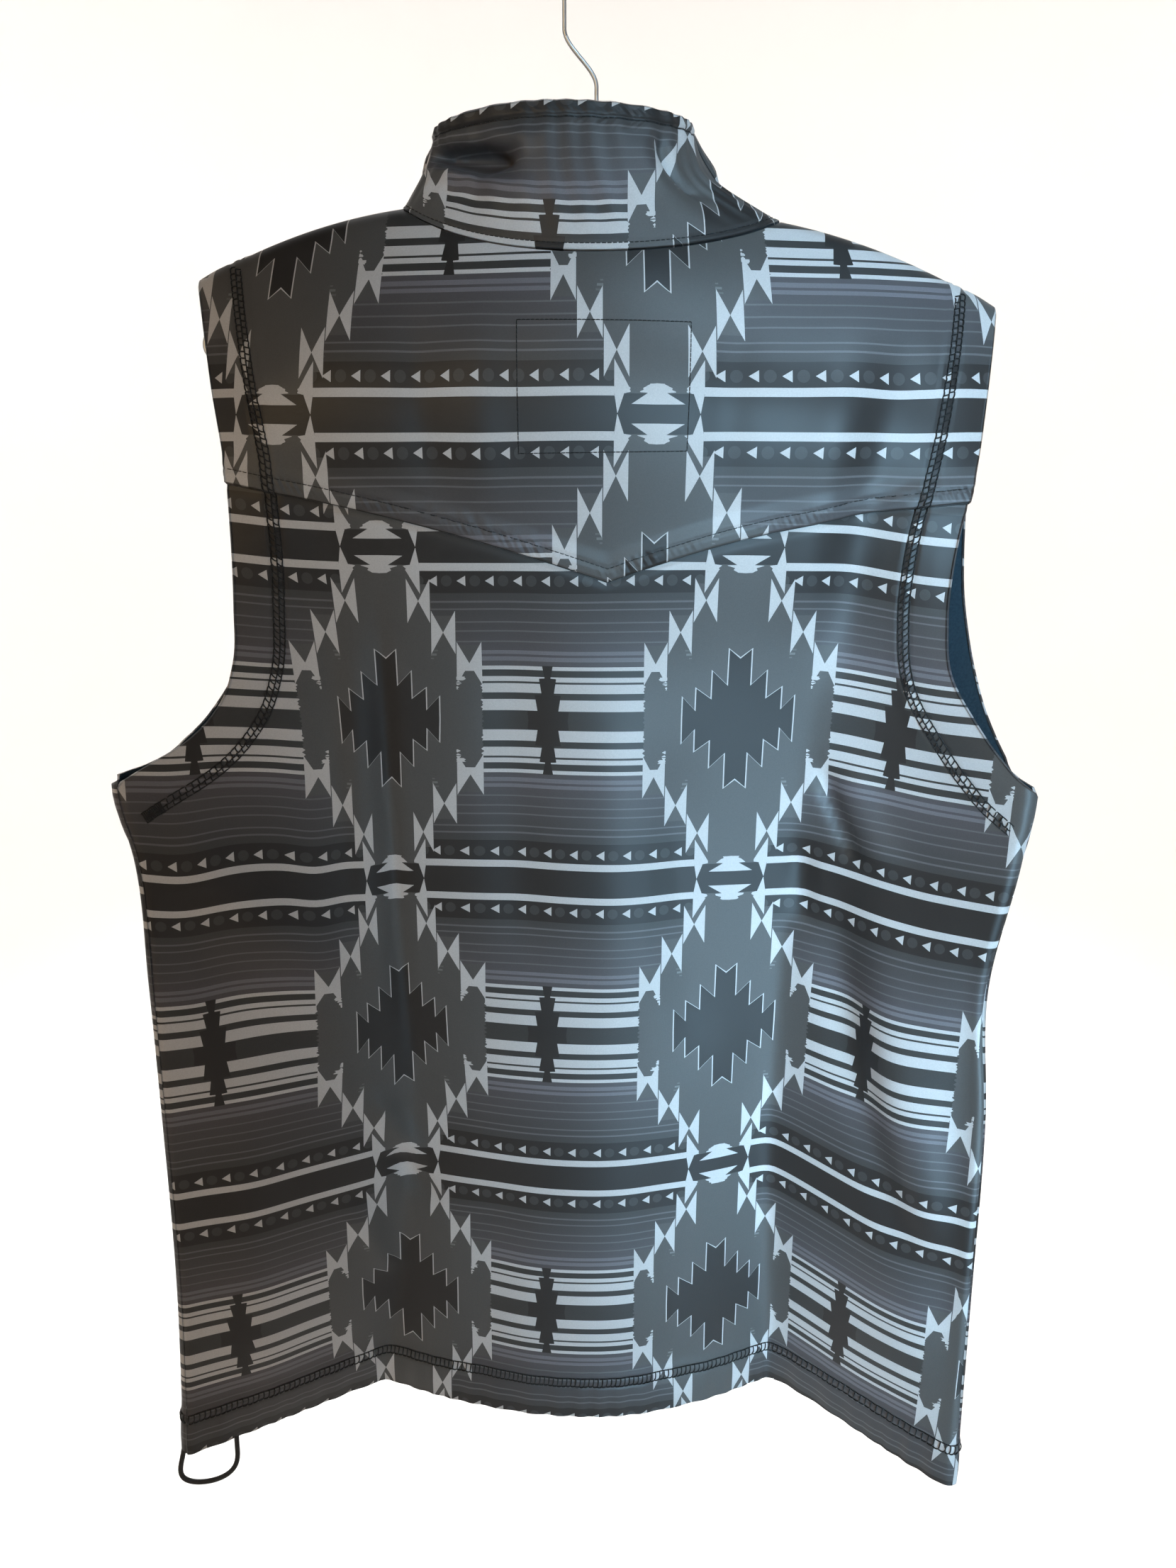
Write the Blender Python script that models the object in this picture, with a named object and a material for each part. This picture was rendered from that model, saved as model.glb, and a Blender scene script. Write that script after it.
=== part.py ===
"""Softshell vest hung on a wire hanger. Metres, +Z up, the garment's back faces -Y.

The origin is the point inside the top of the hanger's hook where it bears on a rail.
Every panel is cut from one closed ring per height: back layer, side roll, front layer.
"""

import math

import bpy
import numpy as np

# Cloth and seams
WALL = 0.0020
COLLAR_WALL = 0.0026
SEAM_GAP = 0.0003
SIDE_ROLL = 0.0060
FOLD_ROUND = 0.0050
SHOULDER_ROLL = 0.0070
SHOULDER_EASE_BACK, SHOULDER_EASE_FRONT = 0.030, 0.040
ARMHOLE_OPEN, ARMHOLE_OPEN_RISE = 0.036, 0.110

# Shoulder line, underarm and hem, left and right of the photo
NECK_LEFT, NECK_RIGHT = (-0.1062, -0.1328), (0.1016, -0.1395)
TIP_LEFT, TIP_RIGHT = (-0.2200, -0.1698), (0.2220, -0.1837)
SHOULDER_ARCH, NECK_BOW = 0.0055, 0.0080
UNDERARM_LEFT, UNDERARM_RIGHT = -0.4397, -0.4454
HEM, HEM_LOW_RIGHT = -0.8915, 0.0055
SEAM_TURN_LEFT, SEAM_TURN_RIGHT = 0.70, 1.57

# Back yoke seam: a V whose tip sits a little right of the middle
YOKE_TIP = (0.0062, -0.3308)
YOKE_ARM_SHARE = 0.40
YOKE_CURVE_LEFT, YOKE_CURVE_RIGHT = 0.34, 0.70

# Closed side outline: height, outermost point and wing slope on both sides
OUTLINE = (
    # z, x_left, y_left, slope_left, x_right, y_right, slope_right
    (-0.893, -0.2700, -0.062, 0.58, 0.2312, -0.082, -0.86),
    (-0.760, -0.2630, -0.064, 0.42, 0.2303, -0.082, -0.66),
    (-0.640, -0.2610, -0.067, 0.40, 0.2295, -0.081, -0.58),
    (-0.560, -0.2600, -0.070, 0.44, 0.2255, -0.078, -0.60),
    (-0.485, -0.2605, -0.072, 0.48, 0.2370, -0.080, -0.62),
    (-0.443, -0.2680, -0.072, 0.50, 0.2427, -0.078, -0.62),
    (-0.380, -0.2600, -0.064, 0.38, 0.2450, -0.072, -0.50),
    (-0.310, -0.2500, -0.048, 0.05, 0.2450, -0.050, -0.10),
    (-0.235, -0.2420, -0.026, -0.45, 0.2420, -0.026, 0.45),
    (-0.150, -0.2400, -0.006, -0.30, 0.2400, -0.006, 0.30),
)

# The back's two valley folds and the swell between them
BACK_FOLDS = (
    # z, x_dip_left, y_dip_left, y_middle, x_dip_right, y_dip_right, out_left, in_left, in_right, out_right
    (-0.893, -0.1470, 0.001, -0.036, 0.1240, 0.004, 0.60, 0.52, 0.60, 0.85),
    (-0.760, -0.1300, -0.006, -0.036, 0.1180, -0.001, 0.72, 0.36, 0.46, 1.00),
    (-0.640, -0.1180, -0.014, -0.036, 0.1170, -0.008, 0.55, 0.20, 0.30, 0.85),
    (-0.520, -0.1210, -0.023, -0.036, 0.1200, -0.017, 0.22, 0.06, 0.12, 0.55),
    (-0.443, -0.1220, -0.028, -0.037, 0.1240, -0.024, 0.08, 0.00, 0.03, 0.25),
    (-0.380, -0.1250, -0.034, -0.039, 0.1260, -0.032, 0.00, 0.00, 0.00, 0.05),
    (-0.310, -0.1250, -0.047, -0.052, 0.1250, -0.046, 0.00, 0.00, 0.00, 0.00),
    (-0.235, -0.1250, -0.060, -0.066, 0.1200, -0.060, 0.00, 0.00, 0.00, 0.00),
    (-0.150, -0.1200, -0.036, -0.062, 0.1200, -0.036, 0.00, 0.00, 0.00, 0.00),
)

# The fronts: a swell each side of the zip
FRONT_FOLDS = (
    # z, x_left, y_left, y_zip, x_right, y_right
    (-0.893, -0.150, 0.033, 0.062, 0.130, 0.031),
    (-0.760, -0.150, 0.031, 0.060, 0.130, 0.029),
    (-0.640, -0.150, 0.030, 0.059, 0.130, 0.029),
    (-0.520, -0.150, 0.031, 0.060, 0.130, 0.031),
    (-0.443, -0.150, 0.034, 0.062, 0.130, 0.034),
    (-0.310, -0.145, 0.043, 0.063, 0.130, 0.043),
    (-0.235, -0.140, 0.040, 0.062, 0.130, 0.040),
    (-0.150, -0.140, 0.024, 0.062, 0.130, 0.024),
)

# Armhole edges from shoulder tip (share 0) to underarm (share 1)
ARMHOLES = (
    # share, back_left, back_right, front_left, front_right
    (0.00, -0.2200, 0.2220, -0.2200, 0.2220),
    (0.20, -0.2080, 0.2105, -0.2120, 0.2180),
    (0.35, -0.2005, 0.2042, -0.2080, 0.2165),
    (0.50, -0.1990, 0.1965, -0.2070, 0.2160),
    (0.65, -0.2000, 0.1940, -0.2090, 0.2165),
    (0.77, -0.2029, 0.1980, -0.2130, 0.2185),
    (0.85, -0.2110, 0.2090, -0.2200, 0.2220),
    (0.93, -0.2315, 0.2230, -0.2360, 0.2290),
    (0.97, -0.2500, 0.2320, -0.2500, 0.2340),
)

# Stand collar rings from the neck seam (share 0) to the top edge (share 1)
COLLAR = (
    # share, x_left, x_right, y_back, y_front, z_left, z_right, z_back, z_front
    (0.0, -0.1062, 0.1016, -0.046, 0.062, -0.1328, -0.1395, -0.1624, -0.2320),
    (0.5, -0.0945, 0.0640, -0.040, 0.062, -0.1140, -0.1170, -0.1240, -0.1950),
    (1.0, -0.0871, 0.0505, -0.031, 0.062, -0.0940, -0.0910, -0.0877, -0.1580),
)
NECK_BACK, NECK_FRONT = -0.1624, -0.2320
NECK_DIP_BACK, NECK_DIP_FRONT = 1.6, 1.2
COLLAR_FOOT, COLLAR_FRONT_LEAN = 0.014, 0.014
FRONT_NECK_SHARE = 0.62
# Dents pressed into the collar: angle from the back middle, share, reaches, depth
COLLAR_DENTS = (
    (-46.0, 0.55, 20.0, 0.30, 0.0130),
    (62.0, 0.45, 16.0, 0.30, 0.0060),
)

# Zip
ZIP_X = -0.006
ZIP_HALF = 0.0081
TAPE_WALL = 0.0010
TEETH_HALF, TEETH_WALL, TEETH_RISE = 0.0026, 0.0024, 0.0007
ZIP_TOP, ZIP_BOTTOM = -0.1605, -0.8900
SLIDER_HALF, SLIDER_LENGTH, PLATE, PLATE_GAP = 0.0045, 0.0110, 0.0012, 0.0032
ARCH_HALF, ARCH_CLEAR, ARCH_BAR, ARCH_LENGTH = 0.0013, 0.0022, 0.0012, 0.0058
PULL_HALF, PULL_LENGTH, PULL_WALL, PULL_WINDOW = 0.0034, 0.0300, 0.0013, 0.0060

# Hem drawcord loop: elastic cord below the left corner
CORD_DIAMETER = 0.0032
CORD_POINTS = 25

# Wire hanger
WIRE = 0.0012
HOOK_RADIUS = 0.0172
BEND_TOP, BEND_FOOT = -0.0440, -0.0720
HANGER_NECK = -0.1130
HANGER_END_LEFT, HANGER_END_RIGHT = (-0.2215, -0.2030), (0.2080, -0.2140)
HANGER_END_RADIUS = 0.0085
TWIST_TURNS, TWIST_RISE = 3, 0.0160


def smooth(knots, values, at):
    """Cubic curve through the knots with each knot's mean slope, held flat outside them."""
    knots = np.asarray(knots, float)
    values = np.asarray(values, float)
    gap = np.diff(knots)
    rise = np.diff(values) / gap
    inner = (rise[:-1] * gap[1:] + rise[1:] * gap[:-1]) / (gap[1:] + gap[:-1])
    slope = np.concatenate([rise[:1], inner, rise[-1:]])
    at = np.clip(at, knots[0], knots[-1])
    i = np.clip(np.searchsorted(knots, at, side="right") - 1, 0, len(gap) - 1)
    return hermite(values[i], slope[i], values[i + 1], slope[i + 1], gap[i], (at - knots[i]) / gap[i])


def hermite(y0, m0, y1, m1, length, q):
    """Cubic from y0 with slope m0 to y1 with slope m1 over a length, at share q."""
    a = (1 + 2 * q) * (1 - q) ** 2 * y0 + q * (1 - q) ** 2 * length * m0
    return a + q * q * (3 - 2 * q) * y1 + q * q * (q - 1) * length * m1


def column(table, index, at):
    """One column of a table, read smoothly at values of the table's first column."""
    rows = np.array(table)
    return smooth(rows[:, 0], rows[:, index], at)


def ease(q):
    """Soft step from 0 to 1."""
    q = np.clip(q, 0.0, 1.0)
    return q * q * (3 - 2 * q)


def side(z, sign):
    """Roll centre, wing angle and the two layers' ends of a side at heights z."""
    first = 1 if sign < 0 else 4
    x = column(OUTLINE, first, z) - sign * SIDE_ROLL
    y = column(OUTLINE, first + 1, z)
    wing = np.arctan(-sign * column(OUTLINE, first + 2, z))
    back = (x - sign * SIDE_ROLL * np.sin(wing), y - SIDE_ROLL * np.cos(wing))
    apart = ARMHOLE_OPEN * ease((z - UNDERARM_LEFT) / ARMHOLE_OPEN_RISE)
    front = (x + sign * SIDE_ROLL * np.sin(wing), y + SIDE_ROLL * np.cos(wing) + apart)
    return x, y, wing, back, front


def layer(x, z, table, edge_left, edge_right, middle):
    """Depth of a layer at x: edge, fold, middle, fold, edge joined by cubics, each fold a rounded V."""
    slope_left = column(OUTLINE, 3, z)
    slope_right = column(OUTLINE, 6, z)
    x_left, y_left = column(table, 1, z), column(table, 2, z)
    y_middle = column(table, 3, z)
    x_right, y_right = column(table, 4, z), column(table, 5, z)
    flanks = [column(table, k, z) if len(table[0]) > 6 else 0.0 * z for k in (6, 7, 8, 9)]
    spans = (
        (edge_left[0], edge_left[1], slope_left, x_left, y_left, flanks[0]),
        (x_left, y_left, -flanks[1], middle, y_middle, 0.0),
        (middle, y_middle, 0.0, x_right, y_right, flanks[2]),
        (x_right, y_right, -flanks[3], edge_right[0], edge_right[1], slope_right),
    )
    depth = np.zeros_like(x)
    for x0, y0, m0, x1, y1, m1 in spans:
        q = np.clip((x - x0) / (x1 - x0), 0.0, 1.0)
        inside = (x >= x0) & (x <= x1)
        depth = np.where(inside, hermite(y0, m0, y1, m1, x1 - x0, q), depth)
    for x_dip, bend in ((x_left, flanks[0] + flanks[1]), (x_right, flanks[2] + flanks[3])):
        away = x - x_dip
        depth = depth - 0.5 * bend * (np.sqrt(away ** 2 + FOLD_ROUND ** 2) - np.abs(away))
    return depth


def ring(g, z):
    """Ring point at reach g from the back middle: back layer, side roll, then front layer."""
    sides = {-1: side(z, -1), 1: side(z, 1)}
    back_edges = [(sides[s][3][0], sides[s][3][1]) for s in (-1, 1)]
    front_edges = [(sides[s][4][0], sides[s][4][1]) for s in (-1, 1)]
    x = g.copy()
    y = layer(np.clip(g, back_edges[0][0], back_edges[1][0]), z, BACK_FOLDS, *back_edges, 0.0)
    for sign in (-1, 1):
        centre_x, centre_y, wing, back, front = sides[sign]
        past = sign * (g - back[0])
        angle = np.clip(past / SIDE_ROLL, 0.0, math.pi)
        out_x, out_y = sign * np.cos(wing), -np.sin(wing)
        roll_x = centre_x + SIDE_ROLL * (-sign * np.sin(wing) * np.cos(angle) + out_x * np.sin(angle))
        roll_y = centre_y + SIDE_ROLL * (-np.cos(wing) * np.cos(angle) + out_y * np.sin(angle))
        front_x = front[0] - sign * (past - math.pi * SIDE_ROLL)
        held = np.clip(front_x, front_edges[0][0], front_edges[1][0])
        front_y = layer(held, z, FRONT_FOLDS, *front_edges, ZIP_X)
        on_roll = past > 0
        on_front = past > math.pi * SIDE_ROLL
        x = np.where(on_front, front_x, np.where(on_roll, roll_x, x))
        y = np.where(on_front, front_y, np.where(on_roll, roll_y, y))
    return x, y


def reach_of_front(x, z, sign):
    """Reach at which the ring's front layer stands at x."""
    _, _, _, back, front = side(z, sign)
    return back[0] + sign * (math.pi * SIDE_ROLL + sign * (front[0] - x))


def seam_reach(z, sign):
    """Reach of the side seam, part of the way round the side roll."""
    _, _, _, back, _ = side(z, sign)
    return back[0] + sign * SIDE_ROLL * (SEAM_TURN_LEFT if sign < 0 else SEAM_TURN_RIGHT)


def ridge(x):
    """Height of the shoulder line over x, carried on in a low bow across the neck."""
    is_left = x < neck_middle()
    neck = np.where(is_left, NECK_LEFT[0], NECK_RIGHT[0])
    tip = np.where(is_left, TIP_LEFT[0], TIP_RIGHT[0])
    high = np.where(is_left, NECK_LEFT[1], NECK_RIGHT[1])
    low = np.where(is_left, TIP_LEFT[1], TIP_RIGHT[1])
    q = np.clip((x - neck) / (tip - neck), 0.0, 1.0)
    u = np.clip((x - NECK_LEFT[0]) / (NECK_RIGHT[0] - NECK_LEFT[0]), 0.0, 1.0)
    bow = lerp(NECK_LEFT[1], NECK_RIGHT[1], u) + 4 * NECK_BOW * u * (1 - u)
    return np.where((u > 0) & (u < 1), bow, high + (low - high) * q + 4 * SHOULDER_ARCH * q * (1 - q))


def over_shoulder(x, y, z, front):
    """Depth of a layer drawn in to the shoulder line and rolled over it."""
    toward = 1.0 if front else -1.0
    below = np.clip(ridge(x) - z, 0.0, None)
    ease_in = SHOULDER_EASE_FRONT if front else SHOULDER_EASE_BACK
    y_top = toward * (SHOULDER_ROLL + 0.5 * SEAM_GAP)
    y = y_top + (y - y_top) * (1.0 - np.exp(-below / ease_in))
    rise = np.clip(1.0 - below / SHOULDER_ROLL, 0.0, 1.0)
    return y - toward * SHOULDER_ROLL * (1.0 - np.sqrt(1.0 - rise ** 2))


def cloth(g, z, front):
    """Point of the vest at reach g and height z."""
    x, y = ring(g, z)
    return np.stack([x, over_shoulder(x, y, z, front), z], -1)


def neck_middle():
    return 0.5 * (NECK_LEFT[0] + NECK_RIGHT[0])


def neck_half():
    return 0.5 * (NECK_RIGHT[0] - NECK_LEFT[0])


def neck_angle(x, front):
    """Angle round the neck seam, from the back middle, of the point over x."""
    angle = np.arcsin(np.clip((x - neck_middle()) / neck_half(), -1.0, 1.0))
    return np.where(angle < 0, -math.pi - angle, math.pi - angle) if front else angle


def neck_seam(angle):
    """Neck seam at an angle: an oval seen from the front, lying on the back and front layers."""
    across, along = np.sin(angle), np.cos(angle)
    x = neck_middle() + neck_half() * across
    z_side = lerp(NECK_LEFT[1], NECK_RIGHT[1], 0.5 + 0.5 * across)
    z = z_side + (NECK_BACK - z_side) * np.clip(along, 0, 1) ** NECK_DIP_BACK
    z = z + (NECK_FRONT - z_side) * np.clip(-along, 0, 1) ** NECK_DIP_FRONT
    edges = [side(z, sign) for sign in (-1, 1)]
    back = layer(x, z, BACK_FOLDS, edges[0][3], edges[1][3], 0.0)
    front = layer(x, z, FRONT_FOLDS, edges[0][4], edges[1][4], ZIP_X)
    y = np.where(along > 0, over_shoulder(x, back, z, False), over_shoulder(x, front, z, True))
    return x, y, z


def collar_point(angle, share):
    """Collar ring at an angle from the back middle and a share of its height."""
    x_left, x_right = column(COLLAR, 1, share), column(COLLAR, 2, share)
    y_back, y_front = column(COLLAR, 3, share), column(COLLAR, 4, share)
    z_left, z_right = column(COLLAR, 5, share), column(COLLAR, 6, share)
    z_back, z_front = column(COLLAR, 7, share), column(COLLAR, 8, share)
    across, along = np.sin(angle), np.cos(angle)
    to_front = np.clip(-along, 0.0, 1.0)
    to_back = np.clip(along, 0.0, 1.0)
    dent = np.zeros_like(share * angle)
    for at, height, width, tall, depth in COLLAR_DENTS:
        swing = (np.degrees(angle) - at) / width
        dent += depth * np.exp(-swing ** 2) * np.exp(-((share - height) / tall) ** 2) * ease(share / 0.15)
    middle = lerp(0.5 * (x_left + x_right), neck_middle(), to_front ** 1.5)
    half = lerp(0.5 * (x_right - x_left), neck_half() - COLLAR_FRONT_LEAN * share, ease(to_front / 0.45))
    x = middle + (half - dent) * across
    y = (y_back + dent) * to_back + y_front * to_front
    z_side = lerp(z_left, z_right, 0.5 + 0.5 * across)
    z = z_side + (z_back - z_side) * to_back ** NECK_DIP_BACK
    z = z + (z_front - z_side) * to_front ** NECK_DIP_FRONT
    foot = column(COLLAR, 3, 0.0) * to_back + column(COLLAR, 4, 0.0) * to_front
    return x, y + (neck_seam(angle)[1] - foot) * (1.0 - share) ** 2, z


def top_line(x):
    """Height of the yoke's top edge over x, neck seam or shoulder seam."""
    in_neck = np.abs(x - neck_middle()) < neck_half()
    return np.where(in_neck, neck_seam(neck_angle(x, False))[2], ridge(x))


def armhole(share, index, sign):
    """Reach of an armhole edge at a share of its height; it ends on the side seam."""
    rows = np.array(ARMHOLES)
    under = UNDERARM_LEFT if sign < 0 else UNDERARM_RIGHT
    tip = TIP_LEFT[1] if sign < 0 else TIP_RIGHT[1]
    z = tip + (under - tip) * rows[:, 0]
    reach = rows[:, index] if index < 3 else reach_of_front(rows[:, index], z, sign)
    last = float(seam_reach(np.array(under), sign))
    return smooth(np.append(rows[:, 0], 1.0), np.append(reach, last), share)


def yoke_seam(x):
    """Height of the yoke seam over x: two slightly bowed arms of a V."""
    left_end = TIP_LEFT[1] + (UNDERARM_LEFT - TIP_LEFT[1]) * YOKE_ARM_SHARE
    right_end = TIP_RIGHT[1] + (UNDERARM_RIGHT - TIP_RIGHT[1]) * YOKE_ARM_SHARE
    x_left = float(armhole(np.array(YOKE_ARM_SHARE), 1, -1))
    x_right = float(armhole(np.array(YOKE_ARM_SHARE), 2, 1))
    is_left = x < YOKE_TIP[0]
    q = (x - YOKE_TIP[0]) / (np.where(is_left, x_left, x_right) - YOKE_TIP[0])
    bow = np.where(is_left, YOKE_CURVE_LEFT, YOKE_CURVE_RIGHT)
    end = np.where(is_left, left_end, right_end)
    return YOKE_TIP[1] + (end - YOKE_TIP[1]) * q * (1 + bow * (1 - q))


def yoke_reach(s):
    """Reach along the yoke seam at a share s from the left to the right armhole."""
    share = np.full_like(s, YOKE_ARM_SHARE)
    return lerp(armhole(share, 1, -1), armhole(share, 2, 1), s)


def hem(x):
    """Height of the hem over x; its right end hangs a little lower."""
    return HEM - HEM_LOW_RIGHT * ease((x - 0.12) / 0.11)


def lerp(a, b, q):
    return a + (b - a) * q


def back_yoke(s, t):
    """Yoke: s from the left to the right armhole, t from the V seam up to neck and shoulder."""
    main = np.clip(t / 0.9, 0.0, 1.0)
    last = np.clip((t - 0.9) / 0.1, 0.0, 1.0)
    high = top_line(lerp(TIP_LEFT[0], TIP_RIGHT[0], s))
    foot = yoke_seam(yoke_reach(s)) + 0.5 * SEAM_GAP
    z = lerp(foot, high - SHOULDER_ROLL, main) + SHOULDER_ROLL * np.sin(0.5 * math.pi * last)
    share = YOKE_ARM_SHARE * (1.0 - (z - foot) / (high - foot))
    g = lerp(armhole(share, 1, -1), armhole(share, 2, 1), s)
    return cloth(g, z, False)


def back_body(s, t):
    """Lower back: s across, t from the V seam (0) over the underarm (1) down to the hem (2)."""
    upper = np.clip(t, 0.0, 1.0)
    lower = np.clip(t - 1.0, 0.0, 1.0)
    share = lerp(YOKE_ARM_SHARE, 1.0, upper)
    under = lerp(UNDERARM_LEFT, UNDERARM_RIGHT, s)
    z_upper = lerp(yoke_seam(yoke_reach(s)) - 0.5 * SEAM_GAP, under, upper)
    z_lower = lerp(under, hem(lerp(-0.25, 0.23, s)), lower)
    z = np.where(t < 1.0, z_upper, z_lower)
    left = np.where(t < 1.0, armhole(share, 1, -1), seam_reach(z, -1)) + 0.5 * SEAM_GAP * (t >= 0.98)
    right = np.where(t < 1.0, armhole(share, 2, 1), seam_reach(z, 1)) - 0.5 * SEAM_GAP * (t >= 0.98)
    return cloth(lerp(left, right, s), z, False)


def front_panel(s, t, sign):
    """Front: s from the zip to armhole and side seam, t from the top over the underarm (1) to the hem (2)."""
    index = 3 if sign < 0 else 4
    neck_edge = ZIP_X + sign * ZIP_HALF
    turn = float(neck_angle(np.array(neck_edge), True))
    q = np.clip(s / FRONT_NECK_SHARE, 0.0, 1.0)
    angle = lerp(turn, sign * 0.5 * math.pi, q)
    neck_x, _, neck_z = neck_seam(angle)
    neck = NECK_LEFT if sign < 0 else NECK_RIGHT
    tip = TIP_LEFT if sign < 0 else TIP_RIGHT
    under = UNDERARM_LEFT if sign < 0 else UNDERARM_RIGHT
    shoulder_x = lerp(neck[0], tip[0], np.clip((s - FRONT_NECK_SHARE) / (1 - FRONT_NECK_SHARE), 0.0, 1.0))
    on_neck = s < FRONT_NECK_SHARE
    top_x = np.where(on_neck, neck_x, shoulder_x)
    top_z = np.where(on_neck, neck_z, ridge(shoulder_x))
    last = np.clip(t / 0.1, 0.0, 1.0)
    main = np.clip((t - 0.1) / 0.9, 0.0, 1.0)
    lower = np.clip(t - 1.0, 0.0, 1.0)
    z_upper = lerp(top_z - SHOULDER_ROLL * (1.0 - np.cos(0.5 * math.pi * last)), under, main)
    z = np.where(t < 1.0, z_upper, lerp(under, hem(np.full_like(s, 0.23 * sign)), lower))
    down = np.clip((top_z - z) / (top_z - under), 0.0, 1.0)
    edge = np.where(t < 1.0, armhole(down, index, sign), seam_reach(z, sign) + sign * 0.5 * SEAM_GAP)
    zip_edge = reach_of_front(np.full_like(s, neck_edge), z, sign)
    spread = (top_x - neck_edge) / (tip[0] - neck_edge)
    return cloth(lerp(zip_edge, edge, lerp(spread, s, np.where(t < 1.0, np.sqrt(down), 1.0))), z, True)


def collar_sheet(s, t):
    """Collar: s from the zip's left side round the back to its right side, t from seam to top edge."""
    share = lerp(COLLAR_FOOT, 1.0, t)
    half = neck_half() - COLLAR_FRONT_LEAN * share
    left = -math.pi - np.arcsin((ZIP_X - ZIP_HALF - neck_middle()) / half)
    right = math.pi - np.arcsin((ZIP_X + ZIP_HALF - neck_middle()) / half)
    quarter = 0.5 * math.pi
    angle = lerp(-quarter, quarter, np.clip(2 * s - 0.5, 0.0, 1.0))
    angle = np.where(s < 0.25, lerp(left, -quarter, s / 0.25), angle)
    angle = np.where(s > 0.75, lerp(quarter, right, (s - 0.75) / 0.25), angle)
    return np.stack(collar_point(angle, share), -1)


def zip_depth(z):
    """Depth of the fronts' outer face along the zip; straight up over the collar."""
    heights = (ZIP_BOTTOM, -0.70, -0.50, -0.36, -0.25, ZIP_TOP)
    return smooth(heights, zip_face(heights), z)


def zip_face(heights):
    z = np.array(heights)
    flat = np.full_like(z, ZIP_X + ZIP_HALF)
    depth = cloth(reach_of_front(flat, z, 1), z, True)[:, 1]
    return np.where(z > NECK_FRONT - 0.03, COLLAR[0][4], depth)


def zip_strip(x0, x1, rise):
    """A strip of the zip between x0 and x1, raised out of the tape's face."""
    def strip(s, t):
        z = lerp(ZIP_TOP, ZIP_BOTTOM, t)
        return np.stack([ZIP_X + lerp(x0, x1, s), zip_depth(z) - 0.0004 + rise, z], -1)
    return strip


def add_object(name, points, faces, color, roughness=0.8, metallic=0.0):
    """A named mesh object with its own plain material."""
    mesh = bpy.data.meshes.new(name)
    mesh.from_pydata([tuple(p) for p in points], [], faces)
    mesh.update()
    obj = bpy.data.objects.new(name, mesh)
    bpy.context.scene.collection.objects.link(obj)
    material = bpy.data.materials.new(name + "_finish")
    material.use_nodes = True
    shader = material.node_tree.nodes["Principled BSDF"]
    shader.inputs["Base Color"].default_value = (*color, 1.0)
    shader.inputs["Roughness"].default_value = roughness
    shader.inputs["Metallic"].default_value = metallic
    mesh.materials.append(material)
    return obj


def sheet(name, surface, across, down, wall, color, outward):
    """A cloth wall: the surface on a grid, a second skin one wall behind it, and the rim between."""
    s, t = np.meshgrid(across, down)
    step = 1e-4
    face = surface(s, t)
    along_s = surface(np.minimum(s + step, across[-1]), t) - surface(np.maximum(s - step, across[0]), t)
    along_t = surface(s, np.minimum(t + step, down[-1])) - surface(s, np.maximum(t - step, down[0]))
    normal = np.cross(along_s, along_t) * outward
    normal /= np.linalg.norm(normal, axis=-1, keepdims=True)
    rows, cols = s.shape
    points = np.concatenate([face.reshape(-1, 3), (face - wall * normal).reshape(-1, 3)])
    n = rows * cols
    faces = []
    for r in range(rows - 1):
        for c in range(cols - 1):
            a, b = r * cols + c, r * cols + c + 1
            d, e = a + cols, b + cols
            faces += [(a, b, e, d), (n + a, n + d, n + e, n + b)]
    rim = [r * cols for r in range(rows)] + [(rows - 1) * cols + c for c in range(1, cols)]
    rim += [r * cols + cols - 1 for r in range(rows - 2, -1, -1)] + list(range(cols - 2, 0, -1))
    faces += [(a, n + a, n + b, b)[::-1] for a, b in zip(rim, rim[1:] + rim[:1])]
    if outward < 0:
        faces = [f[::-1] for f in faces]
    return add_object(name, points, faces, color)


def tube(name, path, radius, sides, color, roughness, metallic):
    """A round wire along a path of points, with flat capped ends."""
    path = np.asarray(path, float)
    ahead = np.gradient(path, axis=0)
    ahead /= np.linalg.norm(ahead, axis=1, keepdims=True)
    start = np.cross(ahead[0], (0.0, 1.0, 0.0))
    frames = [start / np.linalg.norm(start)]
    for k in range(1, len(path)):
        turned = frames[-1] - ahead[k] * np.dot(frames[-1], ahead[k])
        frames.append(turned / np.linalg.norm(turned))
    first = np.array(frames)
    second = np.cross(ahead, first)
    angle = np.arange(sides) * 2 * math.pi / sides
    wide, tall = np.cos(angle)[None, :, None], np.sin(angle)[None, :, None]
    rings = path[:, None] + radius * (wide * first[:, None] + tall * second[:, None])
    faces = [tuple(range(sides))[::-1], tuple((len(path) - 1) * sides + k for k in range(sides))]
    for r in range(len(path) - 1):
        for k in range(sides):
            a, b = r * sides + k, r * sides + (k + 1) % sides
            faces.append((a, b, b + sides, a + sides))
    return add_object(name, rings.reshape(-1, 3), faces, color, roughness, metallic)


def block(name, x, y, z, color, cutter=False):
    """A box between two x, two y and two z."""
    points = [(a, b, c) for c in z for b in y for a in x]
    faces = [(0, 2, 3, 1), (4, 5, 7, 6), (0, 1, 5, 4), (2, 6, 7, 3), (0, 4, 6, 2), (1, 3, 7, 5)]
    obj = add_object(name, points, faces, color, 0.35, 1.0)
    if cutter:
        obj.hide_render = True
        obj.display_type = "WIRE"
    return obj


def combine(obj, tool, operation):
    step = obj.modifiers.new(operation.lower() + "_" + tool.name, "BOOLEAN")
    step.operation = operation
    step.solver = "EXACT"
    step.object = tool


def arc(centre, radius, start, end, count):
    """Points on a circle in the hanger's plane, angles in degrees from +X."""
    a = np.radians(np.linspace(start, end, count))
    return [(centre[0] + radius * math.cos(k), 0.0, centre[1] + radius * math.sin(k)) for k in a]


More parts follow.
